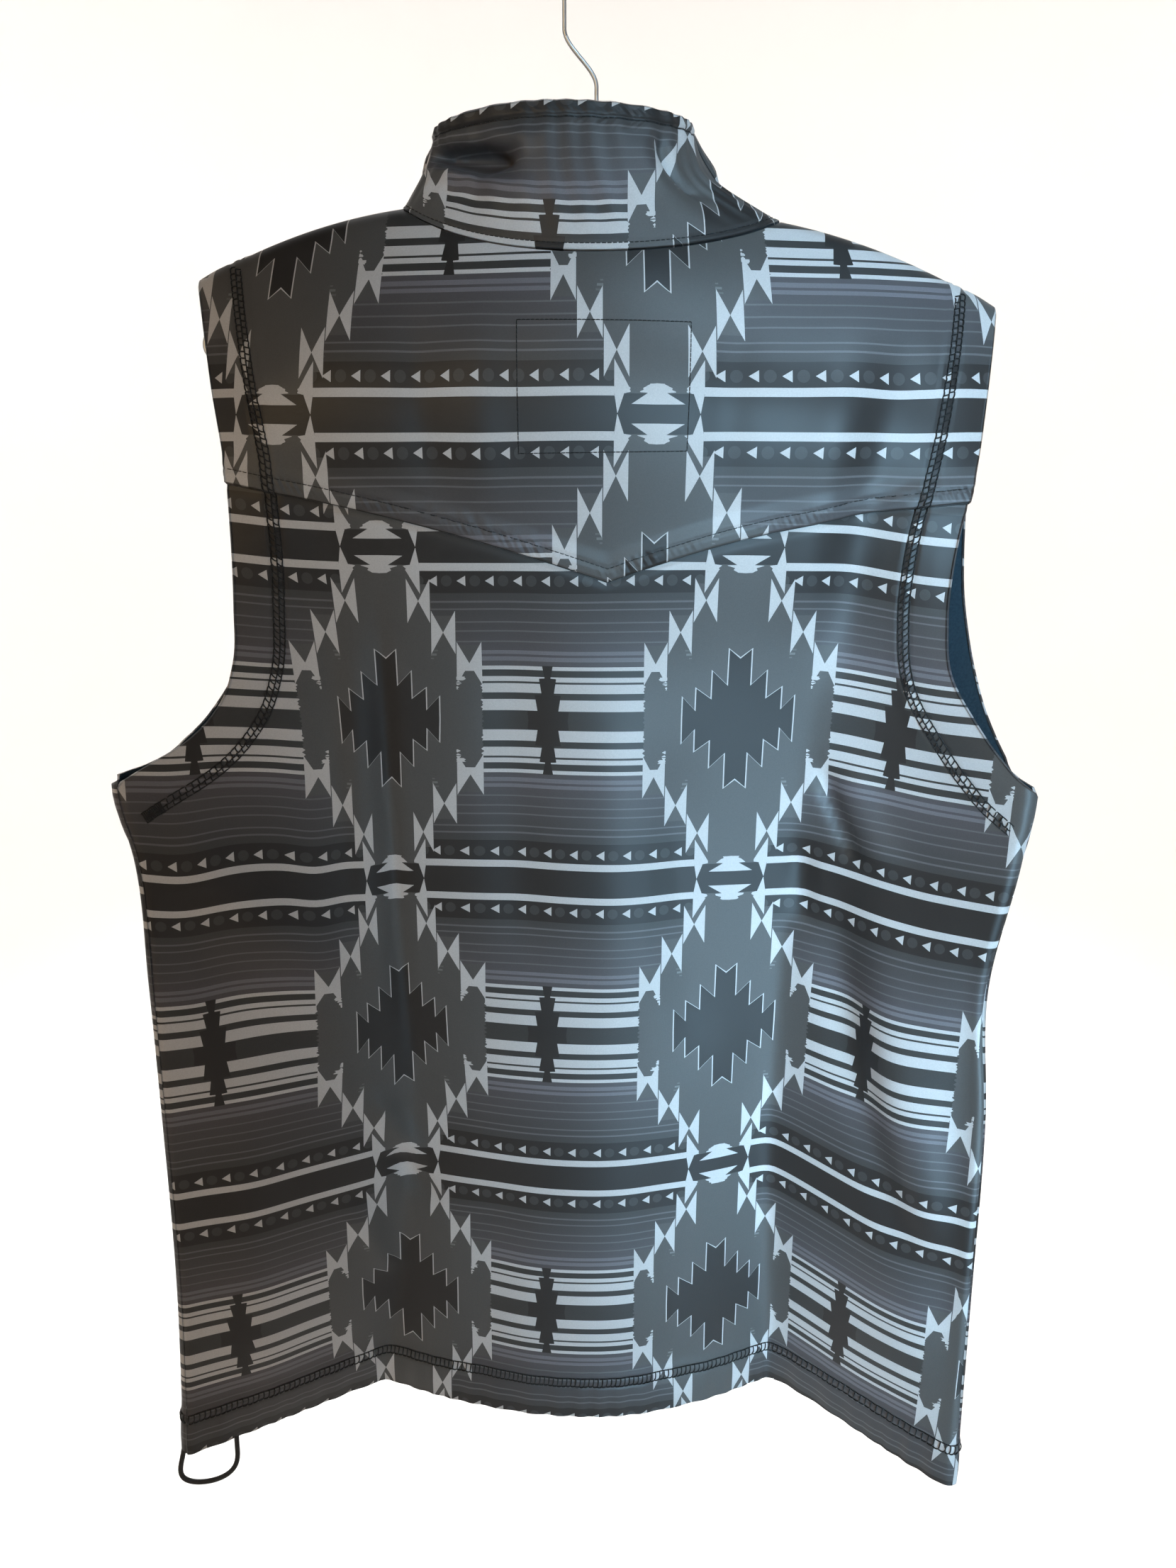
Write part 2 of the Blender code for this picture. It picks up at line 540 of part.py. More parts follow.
def shoulder_wire(sign):
    """The wire's shoulder from the neck out to its rounded end, then to the bottom bar."""
    end = HANGER_END_LEFT if sign < 0 else HANGER_END_RIGHT
    inner = NECK_LEFT[0] if sign < 0 else NECK_RIGHT[0]
    under = WALL + WIRE + 0.0009
    x = np.array([0.010 * sign, inner, inner + 0.022 * sign, inner + 0.036 * sign, end[0] - sign * 0.020])
    z = np.array([HANGER_NECK - 0.006, 0.0, 0.0, 0.0, end[1] + 0.014])
    z[1:4] = ridge(x[1:4]) - under - np.array([0.0030, 0.0, 0.0])
    centre = (end[0] - sign * HANGER_END_RADIUS, end[1])
    at = np.linspace(0, 1, 22)
    run = np.abs(x - x[0])
    spread = run[-1] * at
    points = [(float(x[0] + sign * d), 0.0, float(smooth(run, z, d))) for d in spread]
    turn = arc(centre, HANGER_END_RADIUS, 58, -90, 9)
    if sign < 0:
        turn = [(2 * centre[0] - p[0], 0.0, p[2]) for p in turn]
    return points + turn


def hanger_path():
    """One wire: hook tip, hook, stem, right shoulder, bottom bar, left shoulder, twist about the stem."""
    middle = -HOOK_RADIUS + WIRE
    hook = arc((0.0, middle), HOOK_RADIUS, -35, 180, 26)
    drop = [(-HOOK_RADIUS, 0.0, z) for z in np.linspace(middle, BEND_TOP, 5)[1:-1]]
    shares = np.linspace(0, 1, 14)
    bend = [(-HOOK_RADIUS * float(1 - ease(k)), 0.0, lerp(BEND_TOP, BEND_FOOT, k)) for k in shares]
    stem = [(0.0, 0.0, z) for z in np.linspace(BEND_FOOT, HANGER_NECK + 0.003, 7)[1:]]
    right = shoulder_wire(1)
    left = shoulder_wire(-1)[::-1]
    bar = [tuple(lerp(np.array(right[-1]), np.array(left[0]), k)) for k in np.linspace(0.1, 0.9, 9)]
    angle = math.pi + np.linspace(0, 2 * math.pi * TWIST_TURNS, 12 * TWIST_TURNS)
    lift = np.linspace(0, TWIST_RISE, len(angle))
    reach = 2 * WIRE + 0.0003
    foot = HANGER_NECK + 0.0045
    twist = [(reach * math.cos(a), reach * math.sin(a), foot + h) for a, h in zip(angle, lift)]
    bow = [(-0.0062, 0.0, HANGER_NECK + 0.0005), (-0.0038, 0.0006, HANGER_NECK + 0.0028)]
    return hook + drop + bend + stem + right + bar + left + bow + twist


def cord_path():
    """The cord loop: leaves the hem at the corner, swings down and comes back up along the back hem."""
    z = np.array([HEM])
    start = cloth(seam_reach(z, -1) - 0.006, z, False)[0]
    end = cloth(np.array([-0.238]), z, False)[0]
    start[2] -= 0.0008
    end[2] -= 0.0008
    start[1] += 0.001
    end[1] += 0.001
    q = np.linspace(0, 1, CORD_POINTS)
    swing = np.sin(math.pi * q) ** 0.62
    path = lerp(start, end, ease(q)[:, None])
    path[:, 2] -= 0.021 * swing
    path[:, 1] -= 0.010 * swing
    path[:, 0] -= 0.004 * np.sin(2 * math.pi * q)
    return path


def thread_cord(path, color):
    curve = bpy.data.curves.new("hem_cord", "CURVE")
    curve.dimensions = "3D"
    curve.bevel_depth = 0.5 * CORD_DIAMETER
    curve.bevel_resolution = 2
    curve.use_fill_caps = True
    spline = curve.splines.new("POLY")
    spline.points.add(len(path) - 1)
    for point, place in zip(spline.points, path):
        point.co = (*place, 1.0)
    cord = bpy.data.objects.new("hem_cord", curve)
    bpy.context.scene.collection.objects.link(cord)
    material = bpy.data.materials.new("hem_cord_finish")
    material.use_nodes = True
    material.node_tree.nodes["Principled BSDF"].inputs["Base Color"].default_value = (*color, 1.0)
    curve.materials.append(material)


def zip_head():
    """Slider round the top of the zip, its arch, and the pull whose bar runs under the arch."""
    face = 0.062 - 0.0004 + TEETH_RISE + 0.0003
    top = ZIP_TOP + 0.0035
    low = top - SLIDER_LENGTH
    back = face - PLATE_GAP
    wide = (ZIP_X - SLIDER_HALF, ZIP_X + SLIDER_HALF)
    metal = (0.32, 0.33, 0.34)
    slider = block("zip_slider", wide, (face, face + PLATE), (low, top), metal)
    combine(slider, block("slider_back", wide, (back - PLATE, back), (low, top), metal, True), "UNION")
    post = block("slider_post", wide, (back - 0.0002, face + 0.0002), (ZIP_TOP + 0.0003, top), metal, True)
    combine(slider, post, "UNION")
    front = face + PLATE
    middle = 0.5 * (low + top)
    arch_z = (middle - 0.5 * ARCH_LENGTH, middle + 0.5 * ARCH_LENGTH)
    narrow = (ZIP_X - ARCH_HALF, ZIP_X + ARCH_HALF)
    outer = front + ARCH_CLEAR + ARCH_BAR
    combine(slider, block("slider_arch", narrow, (front - 0.0002, outer), arch_z, metal, True), "UNION")
    through = (ZIP_X - 2 * ARCH_HALF, ZIP_X + 2 * ARCH_HALF)
    gate = (arch_z[0] + ARCH_BAR, arch_z[1] - ARCH_BAR)
    gap = block("slider_gate", through, (front, front + ARCH_CLEAR), gate, metal, True)
    combine(slider, gap, "DIFFERENCE")
    pin_z = gate[0] + 0.00095
    pin_y = front + 0.5 * ARCH_CLEAR
    reach = (ZIP_X - PULL_HALF, ZIP_X + PULL_HALF)
    thick = (pin_y - 0.5 * PULL_WALL, pin_y + 0.5 * PULL_WALL)
    tab = (pin_z + 0.5 * PULL_WALL - PULL_LENGTH, pin_z + 0.5 * PULL_WALL)
    pull = block("zip_pull", reach, thick, tab, metal)
    window = (pin_z - 0.5 * PULL_WALL - PULL_WINDOW, pin_z - 0.5 * PULL_WALL)
    inside = (ZIP_X - 0.0020, ZIP_X + 0.0020)
    deep = (thick[0] - 0.001, thick[1] + 0.001)
    combine(pull, block("pull_window", inside, deep, window, metal, True), "DIFFERENCE")


def build():
    for obj in list(bpy.data.objects):
        bpy.data.objects.remove(obj)
    dark, navy = (0.055, 0.055, 0.060), (0.045, 0.047, 0.052)
    span = TIP_RIGHT[0] - TIP_LEFT[0]
    neck = (neck_middle() + neck_half() * np.sin(np.radians(np.linspace(-90, 90, 19))) - TIP_LEFT[0]) / span
    seam_left = float(armhole(np.array(YOKE_ARM_SHARE), 1, -1))
    seam_right = float(armhole(np.array(YOKE_ARM_SHARE), 2, 1))
    point = (YOKE_TIP[0] - seam_left) / (seam_right - seam_left)
    across_yoke = np.concatenate([np.linspace(0, neck[0], 6)[:-1], neck, np.linspace(neck[-1], 1, 6)[1:]])
    across_yoke[np.abs(across_yoke - point).argmin()] = point
    up_yoke = np.array([0, 0.2, 0.4, 0.6, 0.75, 0.9, 0.935, 0.97, 1.0])
    sheet("back_yoke", back_yoke, across_yoke, up_yoke, WALL, dark, 1)
    left_half = np.linspace(0.045, point, 10)
    right_half = np.linspace(point, 0.955, 10)[1:]
    across_body = np.concatenate([[0, 0.006, 0.02], left_half, right_half, [0.98, 0.99, 1]])
    down_side = np.array([1.0, 1.03, 1.065, 1.11, 1.17, 1.24, 1.32, 1.4, 1.5, 1.6, 1.7, 1.8, 1.9, 2.0])
    down_body = np.concatenate([[0, 0.2, 0.4, 0.6, 0.75, 0.85, 0.92, 0.97], down_side])
    sheet("back_body", back_body, across_body, down_body, WALL, dark, -1)
    down_front = np.concatenate([[0, 0.035, 0.07, 0.1, 0.2, 0.3, 0.4, 0.5, 0.6, 0.7, 0.8, 0.9, 0.96], down_side])
    by_neck = np.linspace(0, FRONT_NECK_SHARE, 10)
    by_shoulder = np.linspace(FRONT_NECK_SHARE, 0.92, 5)[1:]
    across_front = np.concatenate([by_neck, by_shoulder, [0.945, 0.96, 0.972, 0.985, 1.0]])
    for name, sign in (("front_left", -1), ("front_right", 1)):
        panel = lambda s, t, sign=sign: front_panel(s, t, sign)
        sheet(name, panel, across_front, down_front, WALL, navy, sign)
    sheet("collar", collar_sheet, np.linspace(0, 1, 37), np.linspace(0, 1, 7), COLLAR_WALL, dark, 1)
    down_zip = np.concatenate([np.linspace(0, 0.14, 5), np.linspace(0.14, 1, 15)[1:]])
    ends = np.array([0.0, 1.0])
    black = (0.02, 0.02, 0.022)
    inner = TEETH_HALF + SEAM_GAP
    outer = ZIP_HALF - SEAM_GAP
    sheet("zip_tape_left", zip_strip(-outer, -inner, 0.0), ends, down_zip, TAPE_WALL, black, 1)
    sheet("zip_tape_right", zip_strip(inner, outer, 0.0), ends, down_zip, TAPE_WALL, black, 1)
    sheet("zip_teeth", zip_strip(-TEETH_HALF, TEETH_HALF, TEETH_RISE), ends, down_zip, TEETH_WALL, black, 1)
    zip_head()
    thread_cord(cord_path(), (0.03, 0.03, 0.035))
    tube("hanger", hanger_path(), WIRE, 10, (0.62, 0.63, 0.65), 0.25, 1.0)


build()
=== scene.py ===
"""Looks of the softshell vest on its wire hanger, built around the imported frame.

Metres, +Z up. The origin is the inside top of the hanger's hook and the vest's back faces -Y.
Every cloth piece is a thin shell on one ring form, dressed with creases, turned edges and stitches.
"""

import math
from functools import partial

import bpy
import numpy as np
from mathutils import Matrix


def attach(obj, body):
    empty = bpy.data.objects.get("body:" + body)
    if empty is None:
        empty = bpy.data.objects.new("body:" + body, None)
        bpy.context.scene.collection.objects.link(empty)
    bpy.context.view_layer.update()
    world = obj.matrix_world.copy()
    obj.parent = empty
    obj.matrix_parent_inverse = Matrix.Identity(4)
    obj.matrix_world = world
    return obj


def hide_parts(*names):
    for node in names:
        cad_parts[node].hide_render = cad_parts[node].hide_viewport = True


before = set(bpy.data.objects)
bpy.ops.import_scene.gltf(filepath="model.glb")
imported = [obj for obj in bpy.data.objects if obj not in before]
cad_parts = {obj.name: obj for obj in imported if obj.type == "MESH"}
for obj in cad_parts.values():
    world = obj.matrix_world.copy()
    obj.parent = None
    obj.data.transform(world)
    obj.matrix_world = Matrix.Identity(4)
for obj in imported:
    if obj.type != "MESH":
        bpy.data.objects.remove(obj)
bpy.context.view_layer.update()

# Cloth and seams
WALL, COLLAR_WALL, SEAM_GAP = 0.0018, 0.0026, 0.0003
SIDE_ROLL, SHOULDER_ROLL, FOLD_ROUND = 0.0060, 0.0070, 0.0050
SHOULDER_EASE_BACK, SHOULDER_EASE_FRONT = 0.030, 0.040
# Share of a panel's rows that lie on the shoulder's roll
ROLL_ROWS = 0.1
ARMHOLE_OPEN, ARMHOLE_OPEN_RISE = 0.036, 0.110

# Shoulder line, underarm and hem, left and right of a viewer who faces the back
LEFT, RIGHT = -1, 1
NECK = {LEFT: (-0.1062, -0.1328), RIGHT: (0.1016, -0.1395)}
TIP = {LEFT: (-0.2200, -0.1698), RIGHT: (0.2220, -0.1837)}
SHOULDER_ARCH, NECK_BOW = 0.0055, 0.0080
UNDERARM = {LEFT: -0.4397, RIGHT: -0.4454}
HEM, HEM_LEFT, HEM_SIDE = -0.8915, -0.25, 0.23
HEM_LOW_RIGHT, HEM_LOW_FROM, HEM_LOW_OVER = 0.0055, 0.12, 0.11
SEAM_TURN = {LEFT: 0.70, RIGHT: 1.57}

# Back yoke seam: a V whose tip sits a little right of the middle
YOKE_TIP = (0.0062, -0.3308)
YOKE_ARM_SHARE = 0.40
YOKE_CURVE_LEFT, YOKE_CURVE_RIGHT = 0.34, 0.70

# Closed side outline: height, outermost point and wing slope on both sides
OUTLINE = (
    # z, x_left, y_left, slope_left, x_right, y_right, slope_right
    (-0.893, -0.2700, -0.062, 0.58, 0.2312, -0.082, -0.86),
    (-0.760, -0.2630, -0.064, 0.42, 0.2303, -0.082, -0.66),
    (-0.640, -0.2610, -0.067, 0.40, 0.2295, -0.081, -0.58),
    (-0.560, -0.2600, -0.070, 0.44, 0.2255, -0.078, -0.60),
    (-0.485, -0.2605, -0.072, 0.48, 0.2370, -0.080, -0.62),
    (-0.443, -0.2680, -0.072, 0.50, 0.2427, -0.078, -0.62),
    (-0.380, -0.2600, -0.064, 0.38, 0.2450, -0.072, -0.50),
    (-0.310, -0.2500, -0.048, 0.05, 0.2450, -0.050, -0.10),
    (-0.235, -0.2420, -0.026, -0.45, 0.2420, -0.026, 0.45),
    (-0.150, -0.2400, -0.006, -0.30, 0.2400, -0.006, 0.30),
)

# The back's two valley folds and the swell between them
BACK_FOLDS = (
    # z, x_dip_left, y_dip_left, y_middle, x_dip_right, y_dip_right, out_left, in_left, in_right, out_right
    (-0.893, -0.1470, 0.001, -0.036, 0.1240, 0.004, 0.60, 0.52, 0.60, 0.85),
    (-0.760, -0.1300, -0.006, -0.036, 0.1180, -0.001, 0.72, 0.36, 0.46, 1.00),
    (-0.640, -0.1180, -0.014, -0.036, 0.1170, -0.008, 0.55, 0.20, 0.30, 0.85),
    (-0.520, -0.1210, -0.023, -0.036, 0.1200, -0.017, 0.22, 0.06, 0.12, 0.55),
    (-0.443, -0.1220, -0.028, -0.037, 0.1240, -0.024, 0.08, 0.00, 0.03, 0.25),
    (-0.380, -0.1250, -0.034, -0.039, 0.1260, -0.032, 0.00, 0.00, 0.00, 0.05),
    (-0.310, -0.1250, -0.047, -0.052, 0.1250, -0.046, 0.00, 0.00, 0.00, 0.00),
    (-0.235, -0.1250, -0.060, -0.066, 0.1200, -0.060, 0.00, 0.00, 0.00, 0.00),
    (-0.150, -0.1200, -0.036, -0.062, 0.1200, -0.036, 0.00, 0.00, 0.00, 0.00),
)

# The fronts: a swell each side of the zip
FRONT_FOLDS = (
    # z, x_left, y_left, y_zip, x_right, y_right
    (-0.893, -0.150, 0.033, 0.062, 0.130, 0.031),
    (-0.760, -0.150, 0.031, 0.060, 0.130, 0.029),
    (-0.640, -0.150, 0.030, 0.059, 0.130, 0.029),
    (-0.520, -0.150, 0.031, 0.060, 0.130, 0.031),
    (-0.443, -0.150, 0.034, 0.062, 0.130, 0.034),
    (-0.310, -0.145, 0.043, 0.063, 0.130, 0.043),
    (-0.235, -0.140, 0.040, 0.062, 0.130, 0.040),
    (-0.150, -0.140, 0.024, 0.062, 0.130, 0.024),
)

# Armhole edges from shoulder tip (share 0) to underarm (share 1)
ARMHOLES = (
    # share, back_left, back_right, front_left, front_right
    (0.00, -0.2200, 0.2220, -0.2200, 0.2220),
    (0.20, -0.2080, 0.2105, -0.2120, 0.2180),
    (0.35, -0.2005, 0.2042, -0.2080, 0.2165),
    (0.50, -0.1990, 0.1965, -0.2070, 0.2160),
    (0.65, -0.2000, 0.1940, -0.2090, 0.2165),
    (0.77, -0.2029, 0.1980, -0.2130, 0.2185),
    (0.85, -0.2110, 0.2090, -0.2200, 0.2220),
    (0.93, -0.2315, 0.2230, -0.2360, 0.2290),
    (0.97, -0.2500, 0.2320, -0.2500, 0.2340),
)

# Stand collar rings from the neck seam (share 0) to the top edge (share 1)
COLLAR = (
    # share, x_left, x_right, y_back, y_front, z_left, z_right, z_back, z_front
    (0.0, -0.1062, 0.1016, -0.046, 0.062, -0.1328, -0.1395, -0.1624, -0.2320),
    (0.5, -0.0945, 0.0640, -0.040, 0.062, -0.1140, -0.1170, -0.1240, -0.1950),
    (1.0, -0.0871, 0.0505, -0.031, 0.062, -0.0940, -0.0910, -0.0877, -0.1580),
)
NECK_BACK, NECK_FRONT = -0.1624, -0.2320
NECK_DIP_BACK, NECK_DIP_FRONT = 1.6, 1.2
COLLAR_FOOT, COLLAR_FRONT_LEAN, COLLAR_HEIGHT = 0.014, 0.014, 0.078
FRONT_NECK_SHARE = 0.62
# Dents pressed into the collar: angle from the back middle, share, reaches, depth
COLLAR_DENTS = (
    (-46.0, 0.55, 20.0, 0.30, 0.0130),
    (62.0, 0.45, 16.0, 0.30, 0.0060),
)

# How far a crease runs past its ends, and over what share of its length it fades in and out
CREASE_PAST, CREASE_SOFT = 0.08, 0.35
# Creases, listed: a bowed line from one end to the other, how wide and how far out (in if negative)
BACK_CREASES = (
    # x0, z0, x1, z1, bow, half_width, rise
    (0.134, -0.440, 0.158, -0.500, 0.002, 0.0045, -0.0050),
    (0.148, -0.436, 0.174, -0.505, 0.003, 0.0100, 0.0035),
    (-0.123, -0.345, -0.119, -0.640, 0.002, 0.0050, -0.0028),
    (-0.138, -0.350, -0.134, -0.620, 0.003, 0.0090, 0.0022),
    (0.166, -0.195, 0.142, -0.390, 0.006, 0.0170, -0.0045),
    (0.140, -0.220, 0.112, -0.360, 0.004, 0.0180, 0.0020),
    (-0.046, -0.340, -0.042, -0.580, 0.004, 0.0200, -0.0032),
    (0.006, -0.380, 0.012, -0.620, -0.004, 0.0240, 0.0022),
    (0.052, -0.420, 0.064, -0.640, 0.003, 0.0170, -0.0018),
    (-0.240, -0.462, -0.150, -0.570, 0.010, 0.0180, 0.0040),
    (-0.244, -0.520, -0.160, -0.640, 0.008, 0.0200, -0.0030),
    (-0.142, -0.655, -0.112, -0.712, 0.003, 0.0070, 0.0034),
    (-0.134, -0.700, -0.104, -0.742, 0.003, 0.0070, -0.0030),
    (-0.156, -0.730, -0.136, -0.800, 0.003, 0.0080, 0.0026),
    (0.184, -0.540, 0.196, -0.840, 0.006, 0.0200, 0.0030),
    (0.216, -0.520, 0.222, -0.880, 0.004, 0.0120, -0.0036),
    (0.126, -0.486, 0.131, -0.548, 0.002, 0.0070, -0.0040),
    (0.142, -0.500, 0.204, -0.764, 0.012, 0.0110, -0.0045),
    (0.168, -0.512, 0.218, -0.744, 0.010, 0.0130, 0.0034),
    (-0.208, -0.640, -0.214, -0.880, 0.006, 0.0220, 0.0030),
    (-0.060, -0.700, -0.078, -0.900, 0.004, 0.0220, -0.0026),
    (0.044, -0.700, 0.056, -0.900, 0.004, 0.0200, -0.0022),
    (-0.094, -0.190, -0.084, -0.290, 0.003, 0.0110, -0.0016),
    (-0.060, -0.180, -0.058, -0.300, 0.003, 0.0120, 0.0012),
    (0.078, -0.176, 0.066, -0.300, 0.003, 0.0130, -0.0014),
    (-0.176, -0.215, -0.166, -0.330, 0.004, 0.0130, 0.0018),
)
FRONT_CREASES = (
    # x0, z0, x1, z1, bow, half_width, rise
    (-0.150, -0.210, -0.070, -0.360, 0.010, 0.0150, -0.0040),
    (0.150, -0.220, 0.064, -0.380, -0.010, 0.0150, -0.0045),
    (-0.190, -0.430, -0.090, -0.560, 0.012, 0.0190, 0.0042),
    (0.188, -0.436, 0.080, -0.540, -0.010, 0.0180, 0.0040),
    (-0.120, -0.480, -0.138, -0.880, 0.006, 0.0120, -0.0052),
    (0.110, -0.500, 0.122, -0.886, -0.005, 0.0110, -0.0056),
    (-0.064, -0.600, -0.072, -0.890, 0.004, 0.0190, 0.0030),
    (0.056, -0.560, 0.070, -0.890, 0.004, 0.0200, 0.0032),
    (-0.030, -0.330, -0.046, -0.470, 0.003, 0.0100, -0.0018),
    (0.022, -0.350, 0.040, -0.500, 0.003, 0.0110, -0.0020),
    (-0.188, -0.620, -0.196, -0.860, 0.004, 0.0170, 0.0030),
    (0.176, -0.600, 0.186, -0.870, 0.004, 0.0160, 0.0030),
)

# Collar creases in the unrolled collar: run round from the back middle, height over the neck seam
COLLAR_RADIUS = 0.078
COLLAR_CREASES = (
    # x0, z0, x1, z1, bow, half_width, rise
    (-0.106, 0.0540, -0.027, 0.0490, 0.002, 0.0058, -0.0130),
    (-0.096, 0.0400, -0.020, 0.0325, 0.003, 0.0060, 0.0050),
    (-0.086, 0.0640, -0.004, 0.0600, 0.002, 0.0056, 0.0022),
    (0.060, 0.0640, 0.077, 0.0240, 0.003, 0.0056, -0.0052),
    (0.044, 0.0640, 0.050, 0.0180, 0.002, 0.0080, 0.0018),
    (-0.004, 0.0600, 0.006, 0.0160, 0.002, 0.0100, -0.0010),
)

# Turned edges: depth of the turning, how much it stands out, the groove under the thread
HEM_TURN, ARMHOLE_TURN = 0.0235, 0.0205
TURN_RISE, TURN_FALL, TURN_SWELL, TURN_SWELL_HALF = 0.0008, 0.006, 0.4, 0.35
COVER_WIDE, GROOVE, GROOVE_HALF = 0.0060, 0.0006, 0.0012
# The yoke's lapped edge: how far it laps, stands out and settles, its stitch, the gap under it
YOKE_LAP, YOKE_LAP_RISE, YOKE_LAP_STEP, YOKE_STITCH = 0.0016, 0.0023, 0.0012, 0.0064
YOKE_SETTLE, YOKE_SETTLE_FROM, YOKE_SETTLE_OVER = 0.85, 0.004, 0.012
YOKE_GAP, YOKE_GAP_HALF = 0.0011, 0.0024
# Collar's top band and seam row: distance from the edge, rise, fall and share of the groove
COLLAR_BAND, COLLAR_BAND_RISE, COLLAR_BAND_FALL, COLLAR_BAND_GROOVE = 0.0078, 0.0012, 0.002, 2.8
COLLAR_STITCH, COLLAR_STITCH_RISE, COLLAR_STITCH_FALL, COLLAR_STITCH_GROOVE = 0.0046, 0.0006, 0.003, 1.3
# Small waves: rise, pitch and wander, the last two in radians round the collar
HEM_WAVE_BACK, HEM_WAVE_FRONT, HEM_WAVE_REACH = (0.0005, 0.017, 0.11), (0.0005, 0.019, 0.12), 0.03
ZIP_WAVE, ZIP_WAVE_REACH, COLLAR_WAVE = (0.0006, 0.021, 0.13), 0.02, (0.0004, 0.21, 1.3)
# Turned edge beside the zip: rise, width, fall
ZIP_EDGE = (0.0005, 0.007, 0.004)
# Where a front's creases begin beyond the side seam, and over what length
CREASE_FROM_SIDE, CREASE_FADE = 0.012, 0.03
# A pressed edge's mark: its reach, and the width and strength of the painted shade line along it
LAP_REACH, PAINTED_SHADE_WIDTH, PAINTED_SHADE_DARK = 0.030, 0.0013, 0.88
# How much narrower the mark of the collar band's stitch is, and so its painted shade line
BAND_MARK = 1.6
# Fine puckers beside it: middle, half width, closeness, depth
FINE_AT, FINE_HALF, FINE_CLOSE, FINE_DEEP = 0.0054, 0.0060, 330.0, 0.0022
# Puckers along the yoke seam
PUCKER_AT, PUCKER_HALF, PUCKER_FADE, PUCKER_WANDER = 0.006, 0.008, 0.02, 0.041
PUCKERS = (
    # x_from, x_to, pitch, rise
    (-0.112, -0.015, 0.0074, 0.0007),
    (0.120, 0.196, 0.0090, 0.0005),
)

# Thread: radius, sides, pitch of each row, share of its pitch that a run stitch covers
THREAD, COVER_THREAD, THREAD_SIDES = 0.00026, 0.00040, 5
TOP_PITCH, PATCH_PITCH, HEM_PITCH, ARMHOLE_PITCH, RUN_SHARE = 0.0029, 0.0024, 0.0030, 0.0036, 0.82
# How high a run stitch, a cover stitch and a tack stand, in radii; a cover stitch's sways
RUN_HIGH, COVER_HIGH, TACK_HIGH = 1.6, 1.5, 2.0
RAIL_BOW, RUNG_SLANT, RUNG_BOW = 0.00022, 0.25, 0.10
TACK_LONG, TACK_TURNS, STITCH_END = 0.0105, 11, 0.001
# Loose ends of the bar tack
TACK_ENDS = (
    # inward, up, out
    (0.0022, 0.0042, 0.0016),
    (0.0046, 0.0030, 0.0012),
    (-0.0006, 0.0036, 0.0020),
    (0.0060, 0.0014, 0.0014),
)
# Stitched rectangle on the yoke, corner by corner
PATCH = ((-0.0416, -0.1970), (0.0490, -0.1980), (0.0477, -0.2626), (-0.0413, -0.2638))

# Zip
ZIP_X, ZIP_HALF, TAPE_WALL = -0.006, 0.0081, 0.0010
ZIP_TOP, ZIP_BOTTOM, ZIP_STITCH = -0.1605, -0.8900, 0.0065
ZIP_HEIGHTS = (ZIP_BOTTOM, -0.70, -0.50, -0.36, -0.25, ZIP_TOP)
TAPE_SINK, TAPE_LONG, TAPE_CUT = 0.0004, 0.735, 0.012
TOOTH_PITCH, TOOTH_HALF, TOOTH_TALL, TOOTH_LEAN = 0.00127, 0.0017, 0.00105, 0.0008
TEETH_HALF, TEETH_DOWN = 0.0026, 0.002
# A tooth from its face to its foot
TOOTH_LEVELS = (
    # out, narrowing
    (0.0007, 0.72),
    (0.0003, 1.0),
    (-0.0013, 1.0),
    (-0.0017, 0.75),
)
SLIDER_TOP, SLIDER_LOW, SLIDER_MIDDLE = -0.1570, -0.1680, 0.0609
SLIDER_RINGS = (
    # share, half_wide, half_deep
    (0.00, 0.0026, 0.0019),
    (0.04, 0.0032, 0.0025),
    (0.35, 0.0037, 0.0029),
    (0.70, 0.0044, 0.0029),
    (0.95, 0.0046, 0.0026),
    (1.00, 0.0040, 0.0020),
)
# Bridge over the slider: foot, rise, reach up and down, half sizes and corner of its bar
BRIDGE_FOOT, BRIDGE_RISE, BRIDGE_REACH, BRIDGE_BAR = 0.0638, 0.0031, 0.0029, (0.0013, 0.0006, 0.0004)
# Pull tab: its hinge, half sizes and corner of the plate and of its window, half thickness, waist
PIN = (-0.006, 0.0649, -0.16325)
PULL_PLATE, PULL_WINDOW, PULL_HALF = (0.0034, 0.0150, 0.0022), (0.0020, 0.0032, 0.0012), 0.00065
PULL_WAIST, PULL_WAIST_AT, PULL_WAIST_HALF = 0.16, 0.012, 0.005
# Bevelled rings round the plate, then back through the window
PLATE_RINGS = ((0.93, -PULL_HALF), (1.0, -0.00035), (1.0, 0.00035), (0.93, PULL_HALF))
WINDOW_RINGS = ((1.07, PULL_HALF), (1.0, 0.0003), (1.0, -0.0003), (1.07, -PULL_HALF))

# Hem drawcord loop and wire hanger
CORD_DIAMETER, CORD_POINTS = 0.0032, 33
# The loop: start past the side seam, end along the hem, set in the hem, then drop, swing out and lean
CORD_START, CORD_END, CORD_IN = 0.006, -0.238, (0.0, 0.001, -0.0008)
CORD_DROP, CORD_OUT, CORD_LEAN, CORD_ROUND = 0.021, 0.010, 0.004, 0.62
WIRE, HOOK_RADIUS = 0.0012, 0.0172
BEND_TOP, BEND_FOOT, HANGER_NECK = -0.0440, -0.0720, -0.1130
HANGER_END = {LEFT: (-0.2215, -0.2030), RIGHT: (0.2080, -0.2140)}
HANGER_END_RADIUS, TWIST_TURNS, TWIST_RISE = 0.0085, 3, 0.0160
# The shoulder under the cloth: room for the wall, clearance, points past the neck, dip at the neck
CLOTH_ROOM, WIRE_CLEAR, SHOULDER_POINTS, NECK_DIP = 0.0020, 0.0009, (0.022, 0.036), 0.0030

# How far past its turning the hem still shows the printed cloth inside
TURN_SHOWS = 0.007

